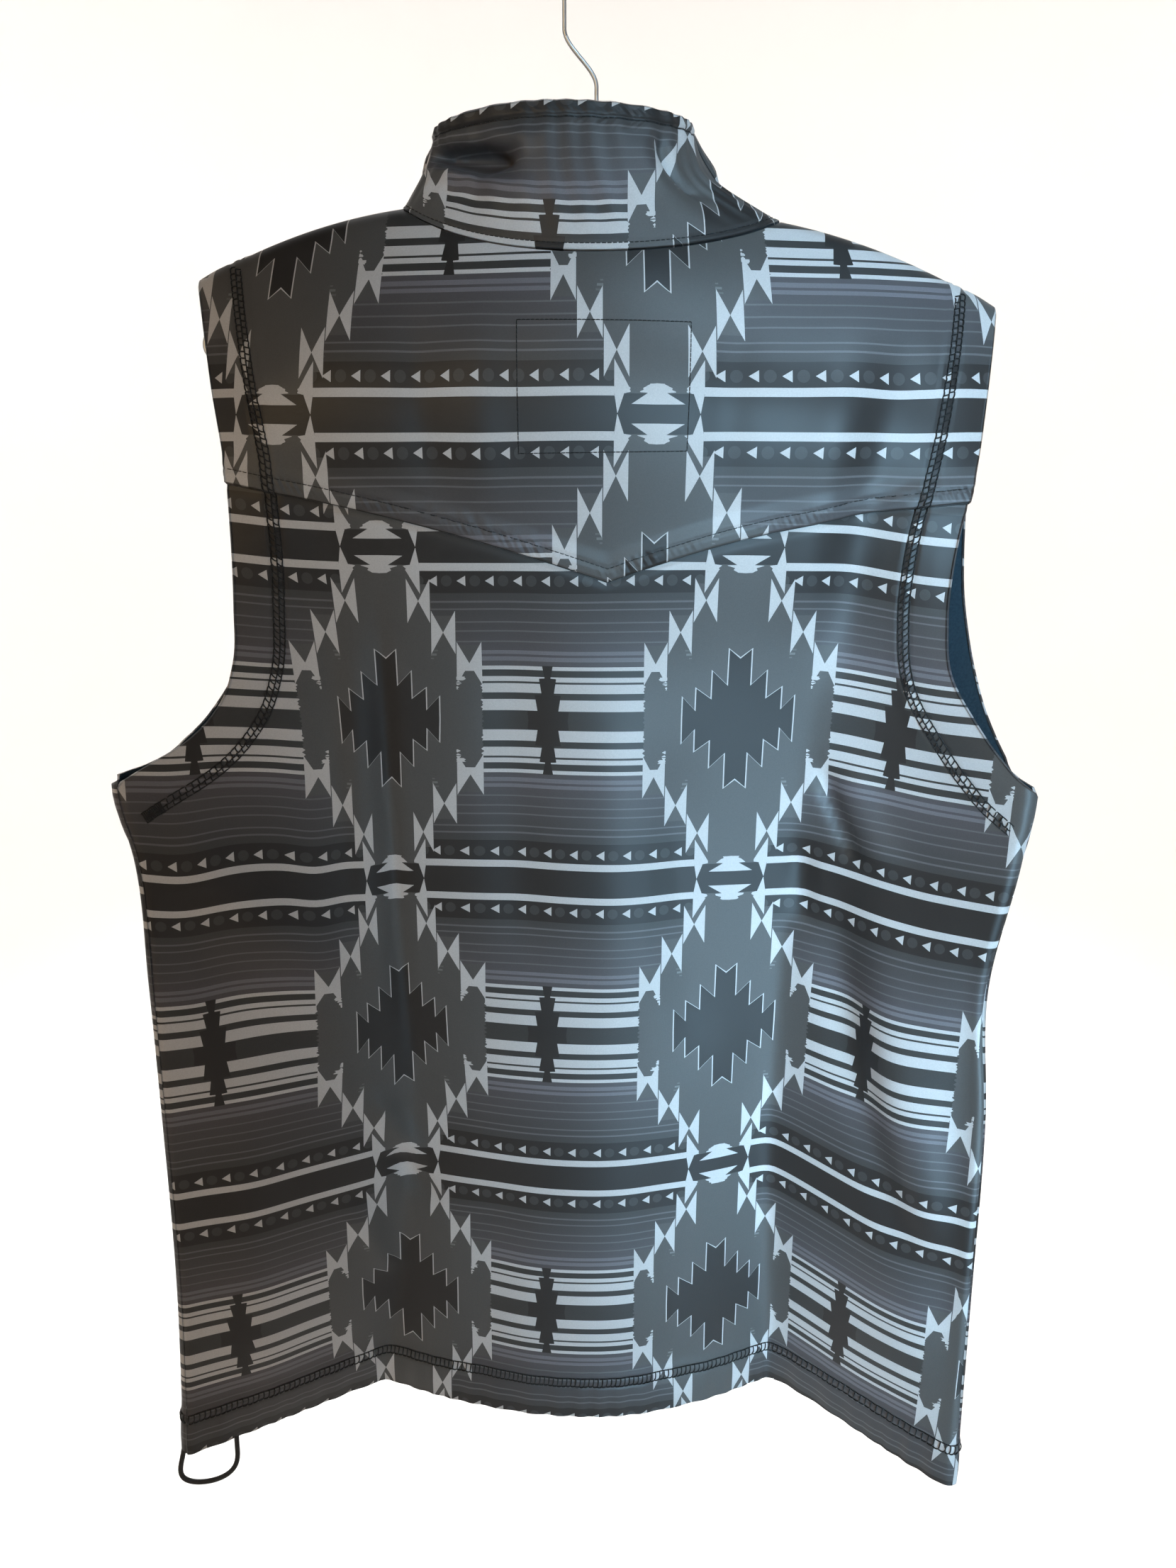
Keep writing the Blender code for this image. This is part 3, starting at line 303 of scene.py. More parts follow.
# Print: one repeat of the chart, how the cloth stretches it, and a medallion's middle on each flat panel
REPEAT_WIDE, REPEAT_TALL = 0.2025, 0.1912
STRETCH_WIDE, STRETCH_TALL, STRETCH_YOKE = 1.005, 1.041, 1.100
PRINT_BODY, PRINT_YOKE = (0.0830, -0.4125), (0.0315, -0.3492)
PRINT_FRONT, PRINT_COLLAR, STRETCH_COLLAR = 0.3950, (-0.0248, -0.0089), 1.12
# The yoke's print is eased past a reach by a share
YOKE_EASE = (0.035, 0.115)
# The lower back narrows and shifts downward: over what height, by what share, by how much
PRINT_DROP, PRINT_NARROW, PRINT_SHIFT = 0.40, 0.045, 0.003
# Its stripes fall on the right wing and rise on the left: from, over, shift; the rise fades by height
RIGHT_FALL, LEFT_RISE, LEFT_RISE_LOW = (0.11, 0.10, 0.009), (0.13, 0.14, 0.010), (0.66, 0.14)
# Pull of the left fold on the print: middle, half width, shift; sag of the left wing's stripes likewise
FOLD_PULL = ((-0.160, 0.026, -0.0065), (-0.094, 0.024, 0.0045))
WING_SAG = ((-0.246, 0.022, 0.0055), (-0.170, 0.014, 0.0030))
# Heights where they act: the pull's start and end with their lengths, the sag's middle and half height
PULL_FROM, PULL_TO, SAG_AT = (-0.30, 0.15), (-0.60, 0.10), (-0.51, 0.075)

# Camera
CAMERA_AT, CAMERA_TILT, CAMERA_LENS, CAMERA_SENSOR = (-0.0046, -0.7060, -0.2830), 76.0, 27.0, 36.0

# Studio: floor height, where it starts to curve, the curve's radius, the wall's height, sides round it
FLOOR, FLOOR_FLAT, FLOOR_CURVE, FLOOR_WALL, FLOOR_SIDES = -1.50, 3.4, 2.6, 6.0, 64
WINDOW_BLUE, SKY_BLUE, LAMP_WARM = (0.44, 0.75, 1.0), (0.50, 0.77, 1.0), (1.0, 0.68, 0.32)
WALL_WARM, PLAIN_WHITE = (1.0, 0.95, 0.89), (1.0, 1.0, 1.0)
LAMPS = (
    # name, place, aim, wide, tall, watts, spread in degrees, colour
    ("window_right", (0.50, -1.70, -0.76), (0.14, 0.0, -0.63), 0.25, 1.2, 1.55, 17.0, WINDOW_BLUE),
    ("window_low", (0.95, -1.25, -0.98), (0.195, 0.0, -0.67), 0.3, 0.3, 0.28, 15.0, WINDOW_BLUE),
    ("window_high", (0.70, -1.00, 0.90), (0.21, 0.0, -0.32), 0.4, 0.4, 0.58, 26.0, SKY_BLUE),
    ("fill_left", (-1.00, -2.00, 0.30), (-0.05, 0.0, -0.50), 1.4, 1.4, 10.0, 180.0, LAMP_WARM),
    ("wall_left", (-2.2, 1.5, 1.8), (-0.8, 6.0, -0.3), 2.0, 2.0, 122.0, 180.0, WALL_WARM),
    ("wall_right", (2.2, 1.5, 1.8), (0.8, 6.0, -0.3), 2.0, 2.0, 122.0, 180.0, WALL_WARM),
    ("floor_wash", (0.0, 2.6, 2.0), (0.0, 1.1, -1.5), 1.2, 1.2, 20.0, 50.0, PLAIN_WHITE),
)
AIR_COLOUR, AIR_STRENGTH = (0.96, 0.98, 1.0, 1.0), 0.02


def lerp(a, b, q):
    return a + (b - a) * q


def ease(q):
    """Soft step from 0 to 1: q squared times three minus two q."""
    q = np.clip(q, 0.0, 1.0)
    return q * q * (3 - 2 * q)


def unit(v):
    """Vectors divided by their lengths."""
    return v / np.maximum(np.linalg.norm(v, axis=-1, keepdims=True), 1e-12)


def hermite(y0, m0, y1, m1, length, q):
    """Cubic from y0 with slope m0 to y1 with slope m1 over a length, at share q."""
    a = (1 + 2 * q) * (1 - q) ** 2 * y0 + q * (1 - q) ** 2 * length * m0
    return a + q * q * (3 - 2 * q) * y1 + q * q * (q - 1) * length * m1


def smooth(knots, values, at):
    """Cubic curve through the knots with each knot's mean slope, held flat outside them."""
    knots = np.asarray(knots, float)
    values = np.asarray(values, float)
    gap = np.diff(knots)
    rise = np.diff(values) / gap
    inner = (rise[:-1] * gap[1:] + rise[1:] * gap[:-1]) / (gap[1:] + gap[:-1])
    slope = np.concatenate([rise[:1], inner, rise[-1:]])
    at = np.clip(at, knots[0], knots[-1])
    i = np.clip(np.searchsorted(knots, at, side="right") - 1, 0, len(gap) - 1)
    return hermite(values[i], slope[i], values[i + 1], slope[i + 1], gap[i], (at - knots[i]) / gap[i])


def column(table, index, at):
    """One column of a table, read smoothly at values of the table's first column."""
    rows = np.array(table)
    return smooth(rows[:, 0], rows[:, index], at)


def side(z, sign):
    """Roll centre, wing angle and the two layers' ends of a side at heights z."""
    first = 1 if sign < 0 else 4
    x = column(OUTLINE, first, z) - sign * SIDE_ROLL
    y = column(OUTLINE, first + 1, z)
    wing = np.arctan(-sign * column(OUTLINE, first + 2, z))
    back = (x - sign * SIDE_ROLL * np.sin(wing), y - SIDE_ROLL * np.cos(wing))
    apart = ARMHOLE_OPEN * ease((z - UNDERARM[LEFT]) / ARMHOLE_OPEN_RISE)
    front = (x + sign * SIDE_ROLL * np.sin(wing), y + SIDE_ROLL * np.cos(wing) + apart)
    return x, y, wing, back, front


def layer(x, z, table, edge_left, edge_right, middle):
    """Depth of a layer at x: edge, fold, middle, fold, edge joined by cubics, each fold a rounded V."""
    slope_left = column(OUTLINE, 3, z)
    slope_right = column(OUTLINE, 6, z)
    x_left, y_left, y_middle, x_right, y_right = (column(table, index, z) for index in range(1, 6))
    flanks = [column(table, k, z) if len(table[0]) > 6 else 0.0 * z for k in (6, 7, 8, 9)]
    spans = (
        (edge_left[0], edge_left[1], slope_left, x_left, y_left, flanks[0]),
        (x_left, y_left, -flanks[1], middle, y_middle, 0.0),
        (middle, y_middle, 0.0, x_right, y_right, flanks[2]),
        (x_right, y_right, -flanks[3], edge_right[0], edge_right[1], slope_right),
    )
    depth = np.zeros_like(x)
    for x0, y0, m0, x1, y1, m1 in spans:
        q = np.clip((x - x0) / (x1 - x0), 0.0, 1.0)
        inside = (x >= x0) & (x <= x1)
        depth = np.where(inside, hermite(y0, m0, y1, m1, x1 - x0, q), depth)
    for x_dip, bend in ((x_left, flanks[0] + flanks[1]), (x_right, flanks[2] + flanks[3])):
        away = x - x_dip
        depth = depth - 0.5 * bend * (np.sqrt(away ** 2 + FOLD_ROUND ** 2) - np.abs(away))
    return depth


def ring(g, z):
    """Ring point at reach g from the back middle: back layer, side roll, then front layer."""
    sides = {sign: side(z, sign) for sign in (LEFT, RIGHT)}
    back_edges = [sides[sign][3] for sign in (LEFT, RIGHT)]
    front_edges = [sides[sign][4] for sign in (LEFT, RIGHT)]
    x = g.copy()
    y = layer(np.clip(g, back_edges[0][0], back_edges[1][0]), z, BACK_FOLDS, *back_edges, 0.0)
    for sign in (LEFT, RIGHT):
        centre_x, centre_y, wing, back, front = sides[sign]
        past = sign * (g - back[0])
        angle = np.clip(past / SIDE_ROLL, 0.0, math.pi)
        out_x, out_y = sign * np.cos(wing), -np.sin(wing)
        roll_x = centre_x + SIDE_ROLL * (-sign * np.sin(wing) * np.cos(angle) + out_x * np.sin(angle))
        roll_y = centre_y + SIDE_ROLL * (-np.cos(wing) * np.cos(angle) + out_y * np.sin(angle))
        front_x = front[0] - sign * (past - math.pi * SIDE_ROLL)
        held = np.clip(front_x, front_edges[0][0], front_edges[1][0])
        front_y = layer(held, z, FRONT_FOLDS, *front_edges, ZIP_X)
        on_roll = past > 0
        on_front = past > math.pi * SIDE_ROLL
        x = np.where(on_front, front_x, np.where(on_roll, roll_x, x))
        y = np.where(on_front, front_y, np.where(on_roll, roll_y, y))
    return x, y


def reach_of_front(x, z, sign):
    """Reach at which the ring's front layer stands at x."""
    _, _, _, back, front = side(z, sign)
    return back[0] + sign * (math.pi * SIDE_ROLL + sign * (front[0] - x))


def seam_reach(z, sign):
    """Reach of the side seam, part of the way round the side roll."""
    _, _, _, back, _ = side(z, sign)
    return back[0] + sign * SIDE_ROLL * SEAM_TURN[sign]


def neck_middle():
    return 0.5 * (NECK[LEFT][0] + NECK[RIGHT][0])


def neck_half():
    return 0.5 * (NECK[RIGHT][0] - NECK[LEFT][0])


def ridge(x):
    """Height of the shoulder line over x, carried on in a low bow across the neck."""
    is_left = x < neck_middle()
    neck = np.where(is_left, NECK[LEFT][0], NECK[RIGHT][0])
    tip = np.where(is_left, TIP[LEFT][0], TIP[RIGHT][0])
    high = np.where(is_left, NECK[LEFT][1], NECK[RIGHT][1])
    low = np.where(is_left, TIP[LEFT][1], TIP[RIGHT][1])
    q = np.clip((x - neck) / (tip - neck), 0.0, 1.0)
    u = np.clip((x - NECK[LEFT][0]) / (NECK[RIGHT][0] - NECK[LEFT][0]), 0.0, 1.0)
    bow = lerp(NECK[LEFT][1], NECK[RIGHT][1], u) + 4 * NECK_BOW * u * (1 - u)
    return np.where((u > 0) & (u < 1), bow, high + (low - high) * q + 4 * SHOULDER_ARCH * q * (1 - q))


def over_shoulder(x, y, z, front):
    """Depth of a layer drawn in to the shoulder line and rolled over it."""
    toward = 1.0 if front else -1.0
    below = np.clip(ridge(x) - z, 0.0, None)
    ease_in = SHOULDER_EASE_FRONT if front else SHOULDER_EASE_BACK
    y_top = toward * (SHOULDER_ROLL + 0.5 * SEAM_GAP)
    y = y_top + (y - y_top) * (1.0 - np.exp(-below / ease_in))
    rise = np.clip(1.0 - below / SHOULDER_ROLL, 0.0, 1.0)
    return y - toward * SHOULDER_ROLL * (1.0 - np.sqrt(1.0 - rise ** 2))


def cloth(g, z, front):
    """Point of the vest at reach g and height z, before it is dressed."""
    x, y = ring(g, z)
    return np.stack([x, over_shoulder(x, y, z, front), z], -1)


def neck_angle(x, front):
    """Angle round the neck seam, from the back middle, of the point over x."""
    angle = np.arcsin(np.clip((x - neck_middle()) / neck_half(), -1.0, 1.0))
    return np.where(angle < 0, -math.pi - angle, math.pi - angle) if front else angle


def neck_seam(angle):
    """Neck seam at an angle: an oval seen from the front, lying on the back and front layers."""
    across, along = np.sin(angle), np.cos(angle)
    x = neck_middle() + neck_half() * across
    z_side = lerp(NECK[LEFT][1], NECK[RIGHT][1], 0.5 + 0.5 * across)
    z = z_side + (NECK_BACK - z_side) * np.clip(along, 0, 1) ** NECK_DIP_BACK
    z = z + (NECK_FRONT - z_side) * np.clip(-along, 0, 1) ** NECK_DIP_FRONT
    edges = [side(z, sign) for sign in (LEFT, RIGHT)]
    back = layer(x, z, BACK_FOLDS, edges[0][3], edges[1][3], 0.0)
    front = layer(x, z, FRONT_FOLDS, edges[0][4], edges[1][4], ZIP_X)
    y = np.where(along > 0, over_shoulder(x, back, z, False), over_shoulder(x, front, z, True))
    return x, y, z


def collar_point(angle, share):
    """Collar ring at an angle from the back middle and a share of its height."""
    x_left, x_right, y_back, y_front = (column(COLLAR, index, share) for index in range(1, 5))
    z_left, z_right, z_back, z_front = (column(COLLAR, index, share) for index in range(5, 9))
    across, along = np.sin(angle), np.cos(angle)
    to_front = np.clip(-along, 0.0, 1.0)
    to_back = np.clip(along, 0.0, 1.0)
    dent = np.zeros_like(share * angle)
    for at, height, width, tall, depth in COLLAR_DENTS:
        swing = (np.degrees(angle) - at) / width
        dent += depth * np.exp(-swing ** 2) * np.exp(-((share - height) / tall) ** 2) * ease(share / 0.15)
    middle = lerp(0.5 * (x_left + x_right), neck_middle(), to_front ** 1.5)
    half = lerp(0.5 * (x_right - x_left), neck_half() - COLLAR_FRONT_LEAN * share, ease(to_front / 0.45))
    x = middle + (half - dent) * across
    y = (y_back + dent) * to_back + y_front * to_front
    z_side = lerp(z_left, z_right, 0.5 + 0.5 * across)
    z = z_side + (z_back - z_side) * to_back ** NECK_DIP_BACK
    z = z + (z_front - z_side) * to_front ** NECK_DIP_FRONT
    foot = column(COLLAR, 3, 0.0) * to_back + column(COLLAR, 4, 0.0) * to_front
    return np.stack([x, y + (neck_seam(angle)[1] - foot) * (1.0 - share) ** 2, z], -1)


def top_line(x):
    """Height of the yoke's top edge over x, neck seam or shoulder seam."""
    in_neck = np.abs(x - neck_middle()) < neck_half()
    return np.where(in_neck, neck_seam(neck_angle(x, False))[2], ridge(x))


def armhole(share, index, sign):
    """Reach of an armhole edge at a share of its height; it ends on the side seam."""
    rows = np.array(ARMHOLES)
    z = lerp(TIP[sign][1], UNDERARM[sign], rows[:, 0])
    reach = rows[:, index] if index < 3 else reach_of_front(rows[:, index], z, sign)
    last = float(seam_reach(np.array(UNDERARM[sign]), sign))
    return smooth(np.append(rows[:, 0], 1.0), np.append(reach, last), share)


def yoke_seam(x):
    """Height of the yoke seam over x: two slightly bowed arms of a V."""
    left_end, right_end = (lerp(TIP[sign][1], UNDERARM[sign], YOKE_ARM_SHARE) for sign in (LEFT, RIGHT))
    x_left = float(armhole(np.array(YOKE_ARM_SHARE), 1, LEFT))
    x_right = float(armhole(np.array(YOKE_ARM_SHARE), 2, RIGHT))
    is_left = x < YOKE_TIP[0]
    q = (x - YOKE_TIP[0]) / (np.where(is_left, x_left, x_right) - YOKE_TIP[0])
    bow = np.where(is_left, YOKE_CURVE_LEFT, YOKE_CURVE_RIGHT)
    end = np.where(is_left, left_end, right_end)
    return YOKE_TIP[1] + (end - YOKE_TIP[1]) * q * (1 + bow * (1 - q))


def back_reach(share, s):
    """Reach across the back at a share of the armholes' height, s from the left to the right armhole."""
    return lerp(armhole(share, 1, LEFT), armhole(share, 2, RIGHT), s)


def yoke_reach(s):
    """Reach along the yoke seam at a share s from the left to the right armhole."""
    return back_reach(np.full_like(s, YOKE_ARM_SHARE), s)


def hem(x):
    """Height of the hem over x; its right end hangs a little lower."""
    return HEM - HEM_LOW_RIGHT * ease((x - HEM_LOW_FROM) / HEM_LOW_OVER)


def yoke_place(s, t):
    """Yoke: s from the left to the right armhole, t from the lapped V edge up to neck and shoulder."""
    main = np.clip(t / (1.0 - ROLL_ROWS), 0.0, 1.0)
    last = np.clip((t - (1.0 - ROLL_ROWS)) / ROLL_ROWS, 0.0, 1.0)
    high = top_line(lerp(TIP[LEFT][0], TIP[RIGHT][0], s))
    foot = yoke_seam(yoke_reach(s)) - YOKE_LAP
    z = lerp(foot, high - SHOULDER_ROLL, main) + SHOULDER_ROLL * np.sin(0.5 * math.pi * last)
    share = YOKE_ARM_SHARE * (1.0 - (z - foot) / (high - foot))
    return back_reach(share, s), z


def body_place(s, t):
    """Lower back: s across, t from the V seam (0) over the underarm (1) down to the hem (2)."""
    upper = np.clip(t, 0.0, 1.0)
    lower = np.clip(t - 1.0, 0.0, 1.0)
    share = lerp(YOKE_ARM_SHARE, 1.0, upper)
    under = lerp(UNDERARM[LEFT], UNDERARM[RIGHT], s)
    z_upper = lerp(yoke_seam(yoke_reach(s)), under, upper)
    z = np.where(t < 1.0, z_upper, lerp(under, hem(lerp(HEM_LEFT, HEM_SIDE, s)), lower))
    gap = 0.5 * SEAM_GAP * (t >= 0.98)
    left = np.where(t < 1.0, armhole(share, 1, LEFT), seam_reach(z, LEFT)) + gap
    right = np.where(t < 1.0, armhole(share, 2, RIGHT), seam_reach(z, RIGHT)) - gap
    return lerp(left, right, s), z


def front_place(s, t, sign):
    """Front: s from the zip to the side, t from the top over the underarm (1) to the hem (2)."""
    index = 3 if sign < 0 else 4
    neck_edge = ZIP_X + sign * ZIP_HALF
    turn = float(neck_angle(np.array(neck_edge), True))
    angle = lerp(turn, sign * 0.5 * math.pi, np.clip(s / FRONT_NECK_SHARE, 0.0, 1.0))
    neck_x, _, neck_z = neck_seam(angle)
    neck = NECK[sign]
    tip = TIP[sign]
    under = UNDERARM[sign]
    past_neck = np.clip((s - FRONT_NECK_SHARE) / (1 - FRONT_NECK_SHARE), 0.0, 1.0)
    shoulder_x = lerp(neck[0], tip[0], past_neck)
    on_neck = s < FRONT_NECK_SHARE
    top_x = np.where(on_neck, neck_x, shoulder_x)
    top_z = np.where(on_neck, neck_z, ridge(shoulder_x))
    last = np.clip(t / ROLL_ROWS, 0.0, 1.0)
    main = np.clip((t - ROLL_ROWS) / (1.0 - ROLL_ROWS), 0.0, 1.0)
    lower = np.clip(t - 1.0, 0.0, 1.0)
    z_upper = lerp(top_z - SHOULDER_ROLL * (1.0 - np.cos(0.5 * math.pi * last)), under, main)
    z = np.where(t < 1.0, z_upper, lerp(under, hem(np.full_like(s, HEM_SIDE * sign)), lower))
    down = np.clip((top_z - z) / (top_z - under), 0.0, 1.0)
    edge = np.where(t < 1.0, armhole(down, index, sign), seam_reach(z, sign) + sign * 0.5 * SEAM_GAP)
    zip_edge = reach_of_front(np.full_like(s, neck_edge), z, sign)
    spread = (top_x - neck_edge) / (tip[0] - neck_edge)
    return lerp(zip_edge, edge, lerp(spread, s, np.where(t < 1.0, np.sqrt(down), 1.0))), z


def collar_angle(s, share):
    """Angle round the collar for s from the zip's left side round the back to its right side."""
    half = neck_half() - COLLAR_FRONT_LEAN * share
    left = -math.pi - np.arcsin((ZIP_X - ZIP_HALF - neck_middle()) / half)
    right = math.pi - np.arcsin((ZIP_X + ZIP_HALF - neck_middle()) / half)
    quarter = 0.5 * math.pi
    angle = lerp(-quarter, quarter, np.clip(2 * s - 0.5, 0.0, 1.0))
    angle = np.where(s < 0.25, lerp(left, -quarter, s / 0.25), angle)
    return np.where(s > 0.75, lerp(quarter, right, (s - 0.75) / 0.25), angle)


def zip_depth(z):
    """Depth of the fronts' outer face along the zip; straight up over the collar."""
    heights = np.array(ZIP_HEIGHTS)
    beside = np.full_like(heights, ZIP_X + ZIP_HALF)
    depth = cloth(reach_of_front(beside, heights, RIGHT), heights, True)[:, 1]
    return smooth(heights, np.where(heights > NECK_FRONT - 0.03, COLLAR[0][4], depth), z)


def flat_table():
    """Arc length round the ring from the back middle, for steps of height and reach."""
    z = np.linspace(HEM - 0.012, -0.125, 90)
    g = np.linspace(-0.60, 0.58, 1181)
    x, y = ring(*np.meshgrid(g, z))
    run = np.hypot(np.diff(x, axis=1), np.diff(y, axis=1))
    length = np.concatenate([np.zeros((len(z), 1)), np.cumsum(run, axis=1)], axis=1)
    middle = int(np.abs(g).argmin())
    return z, g, length - length[:, middle:middle + 1]


FLAT = flat_table()


def flat_reach(g, z):
    """Reach of a point in the flat cloth, read between the table's four nearest entries."""
    heights, reaches, length = FLAT
    row = np.clip((z - heights[0]) / (heights[1] - heights[0]), 0.0, len(heights) - 1.001)
    col = np.clip((g - reaches[0]) / (reaches[1] - reaches[0]), 0.0, len(reaches) - 1.001)
    r, c = row.astype(int), col.astype(int)
    low = lerp(length[r, c], length[r, c + 1], col - c)
    high = lerp(length[r + 1, c], length[r + 1, c + 1], col - c)
    return lerp(low, high, row - r)


def reach_of_flat(u, z):
    """Reach whose flat reach is u, by a few Newton steps."""
    g = np.array(u, float)
    for _ in range(8):
        slope = (flat_reach(g + 5e-4, z) - flat_reach(g - 5e-4, z)) / 1e-3
        g = g - (flat_reach(g, z) - u) / np.maximum(slope, 0.3)
    return g


def armhole_line(index, sign):
    """An armhole edge in the flat cloth, from shoulder tip to underarm."""
    share = np.linspace(0, 1, 140)
    z = lerp(TIP[sign][1], UNDERARM[sign], share)
    return flat_reach(armhole(share, index, sign), z), z


ARMHOLE_LINES = {
    "back_left": armhole_line(1, LEFT),
    "back_right": armhole_line(2, RIGHT),
    "front_left": armhole_line(3, LEFT),
    "front_right": armhole_line(4, RIGHT),
}


def edge_distance(u, v, line):
    """Distance in the flat cloth from points to the nearest stretch of a line of points."""
    shape = np.shape(u)
    u, v = np.ravel(u)[:, None], np.ravel(v)[:, None]
    u0, v0, u1, v1 = line[0][:-1], line[1][:-1], line[0][1:], line[1][1:]
    run = (u1 - u0) ** 2 + (v1 - v0) ** 2
    q = np.clip(((u - u0) * (u1 - u0) + (v - v0) * (v1 - v0)) / run, 0.0, 1.0)
    return np.hypot(u - lerp(u0, u1, q), v - lerp(v0, v1, q)).min(axis=1).reshape(shape)


def creases(x, z, table):
    """Soft troughs and ridges: a bell across each bowed line, fading out at both ends."""
    total = np.zeros_like(x)
    for x0, z0, x1, z1, bow, half, rise in table:
        run = math.hypot(x1 - x0, z1 - z0)
        to_x, to_z = (x1 - x0) / run, (z1 - z0) / run
        along = ((x - x0) * to_x + (z - z0) * to_z) / run
        across = (x - x0) * to_z - (z - z0) * to_x - 4 * bow * along * (1 - along)
        fade = ease((along + CREASE_PAST) / CREASE_SOFT) * ease((1.0 + CREASE_PAST - along) / CREASE_SOFT)
        total += rise * fade * np.exp(-(across / half) ** 2)
    return total


def groove(distance, at):
    """The dent that a row of thread pulls into the cloth."""
    return -GROOVE * np.exp(-((distance - at) / GROOVE_HALF) ** 2)


def turned(distance, depth):
    """A turned edge: one more layer as deep as the turning, a groove under both needle rows."""
    rise = TURN_RISE * (1.0 - ease((distance - depth - COVER_WIDE) / TURN_FALL))
    swell = np.exp(-((distance - 0.5 * depth) / (TURN_SWELL_HALF * depth)) ** 2)
    rise = rise + TURN_SWELL * TURN_RISE * swell
    return rise + groove(distance, depth) + groove(distance, depth + COVER_WIDE)


def ripple(along, pitch, wander):
    """Uneven wave along an edge: a sine whose phase wanders."""
    return np.sin(2 * math.pi * along / pitch + 2.1 * np.sin(along * 2 * math.pi / wander))


def dress_back(x, g, z):
    """Relief of the back: creases and turned armholes."""
    u = flat_reach(g, z)
    rise = creases(x, z, BACK_CREASES)
    for name in ("back_left", "back_right"):
        rise = rise + turned(edge_distance(u, z, ARMHOLE_LINES[name]), ARMHOLE_TURN)
    return rise


def dress_yoke(x, g, z):
    """The back's relief, with the yoke's lapped edge, its stitch groove and the puckers over it."""
    above = z - yoke_seam(g)
    edge = ease((above + YOKE_LAP) / YOKE_LAP_STEP + 0.35)
    settled = 1 - YOKE_SETTLE * ease((above - YOKE_SETTLE_FROM) / YOKE_SETTLE_OVER)
    lap = YOKE_LAP_RISE * edge * settled + groove(above, YOKE_STITCH)
    near = np.exp(-((above - PUCKER_AT) / PUCKER_HALF) ** 2)
    for x_from, x_to, pitch, rise in PUCKERS:
        window = ease((x - x_from) / PUCKER_FADE) * ease((x_to - x) / PUCKER_FADE)
        lap = lap + rise * near * window * ripple(x + 0.5 * above, pitch, PUCKER_WANDER)
    return dress_back(x, g, z) + lap


def edge_wave(along, away, wave, reach):
    """Small waves along an edge that die out away from it."""
    rise, pitch, wander = wave
    return rise * ripple(along, pitch, wander) * np.exp(-(away / reach) ** 2)


def dress_body(x, g, z):
    """The back's relief, with the turned hem and its small waves."""
    above = z - hem(x)
    wave = edge_wave(flat_reach(g, z), above, HEM_WAVE_BACK, HEM_WAVE_REACH)
    gap = YOKE_GAP * np.exp(-((z - yoke_seam(g) + YOKE_LAP) / YOKE_GAP_HALF) ** 2)
    return dress_back(x, g, z) + turned(above, HEM_TURN) + wave - gap


def dress_front(x, g, z):
    """Relief of a front: creases, turned armhole and hem, and a turned edge beside the zip."""
    u = flat_reach(g, z)
    fronts = ("front_left", "front_right")
    arm_left, arm_right = (edge_distance(u, z, ARMHOLE_LINES[name]) for name in fronts)
    arm = np.where(g < 0, arm_left, arm_right)
    above = z - hem(np.where(g < 0, -HEM_SIDE, HEM_SIDE))
    from_zip = np.abs(x - ZIP_X) - ZIP_HALF
    rise, width, fall = ZIP_EDGE
    beside = rise * (1 - ease((from_zip - width) / fall)) + groove(from_zip, ZIP_STITCH)
    beside = beside + edge_wave(z, from_zip, ZIP_WAVE, ZIP_WAVE_REACH)
    past_side = np.abs(g) - np.abs(seam_reach(z, LEFT)) - CREASE_FROM_SIDE
    near_side = ease(past_side / CREASE_FADE)
    rise = creases(x, z, FRONT_CREASES) * near_side + turned(arm, ARMHOLE_TURN)
    wave = edge_wave(u, above, HEM_WAVE_FRONT, HEM_WAVE_REACH)
    return rise + turned(above, HEM_TURN) + beside + wave


def skin(g, z, dress, lift=0.0):
    """Dressed cloth at reach g and height z: the form moved out along its normal by relief and lift."""
    front = dress is dress_front
    step = 2e-4
    along = cloth(g + step, z, front) - cloth(g - step, z, front)
    up = cloth(g, z + step, front) - cloth(g, z - step, front)
    normal = unit(np.cross(along, up))
    place = cloth(g, z, front)
    rise = dress(place[..., 0], g, z) + lift
    return place + normal * rise[..., None], normal


def collar_skin(angle, share, lift=0.0):
    """Dressed collar: a rolled band at the top, grooves under its two rows of stitches, faint creases."""
    step = 1e-3
    around = collar_point(angle + step, share) - collar_point(angle - step, share)
    low, high = np.clip(share - step, 0, 1), np.clip(share + step, 0, 1)
    normal = unit(np.cross(around, collar_point(angle, high) - collar_point(angle, low)))
    down, up = (1.0 - share) * COLLAR_HEIGHT, share * COLLAR_HEIGHT
    rise = COLLAR_BAND_RISE * (1.0 - ease((down - COLLAR_BAND) / COLLAR_BAND_FALL))
    rise = rise + COLLAR_BAND_GROOVE * groove(down, COLLAR_BAND)
    rise = rise + COLLAR_STITCH_RISE * (1.0 - ease((up - COLLAR_STITCH) / COLLAR_STITCH_FALL))
    rise = rise + COLLAR_STITCH_GROOVE * groove(up, COLLAR_STITCH)
    high, pitch, wander = COLLAR_WAVE
    rise = rise + high * ripple(angle, pitch, wander) * ease(share / 0.3)
    rise = rise + creases(angle * COLLAR_RADIUS, up, COLLAR_CREASES)
    return collar_point(angle, share) + normal * (rise + lift)[..., None], normal


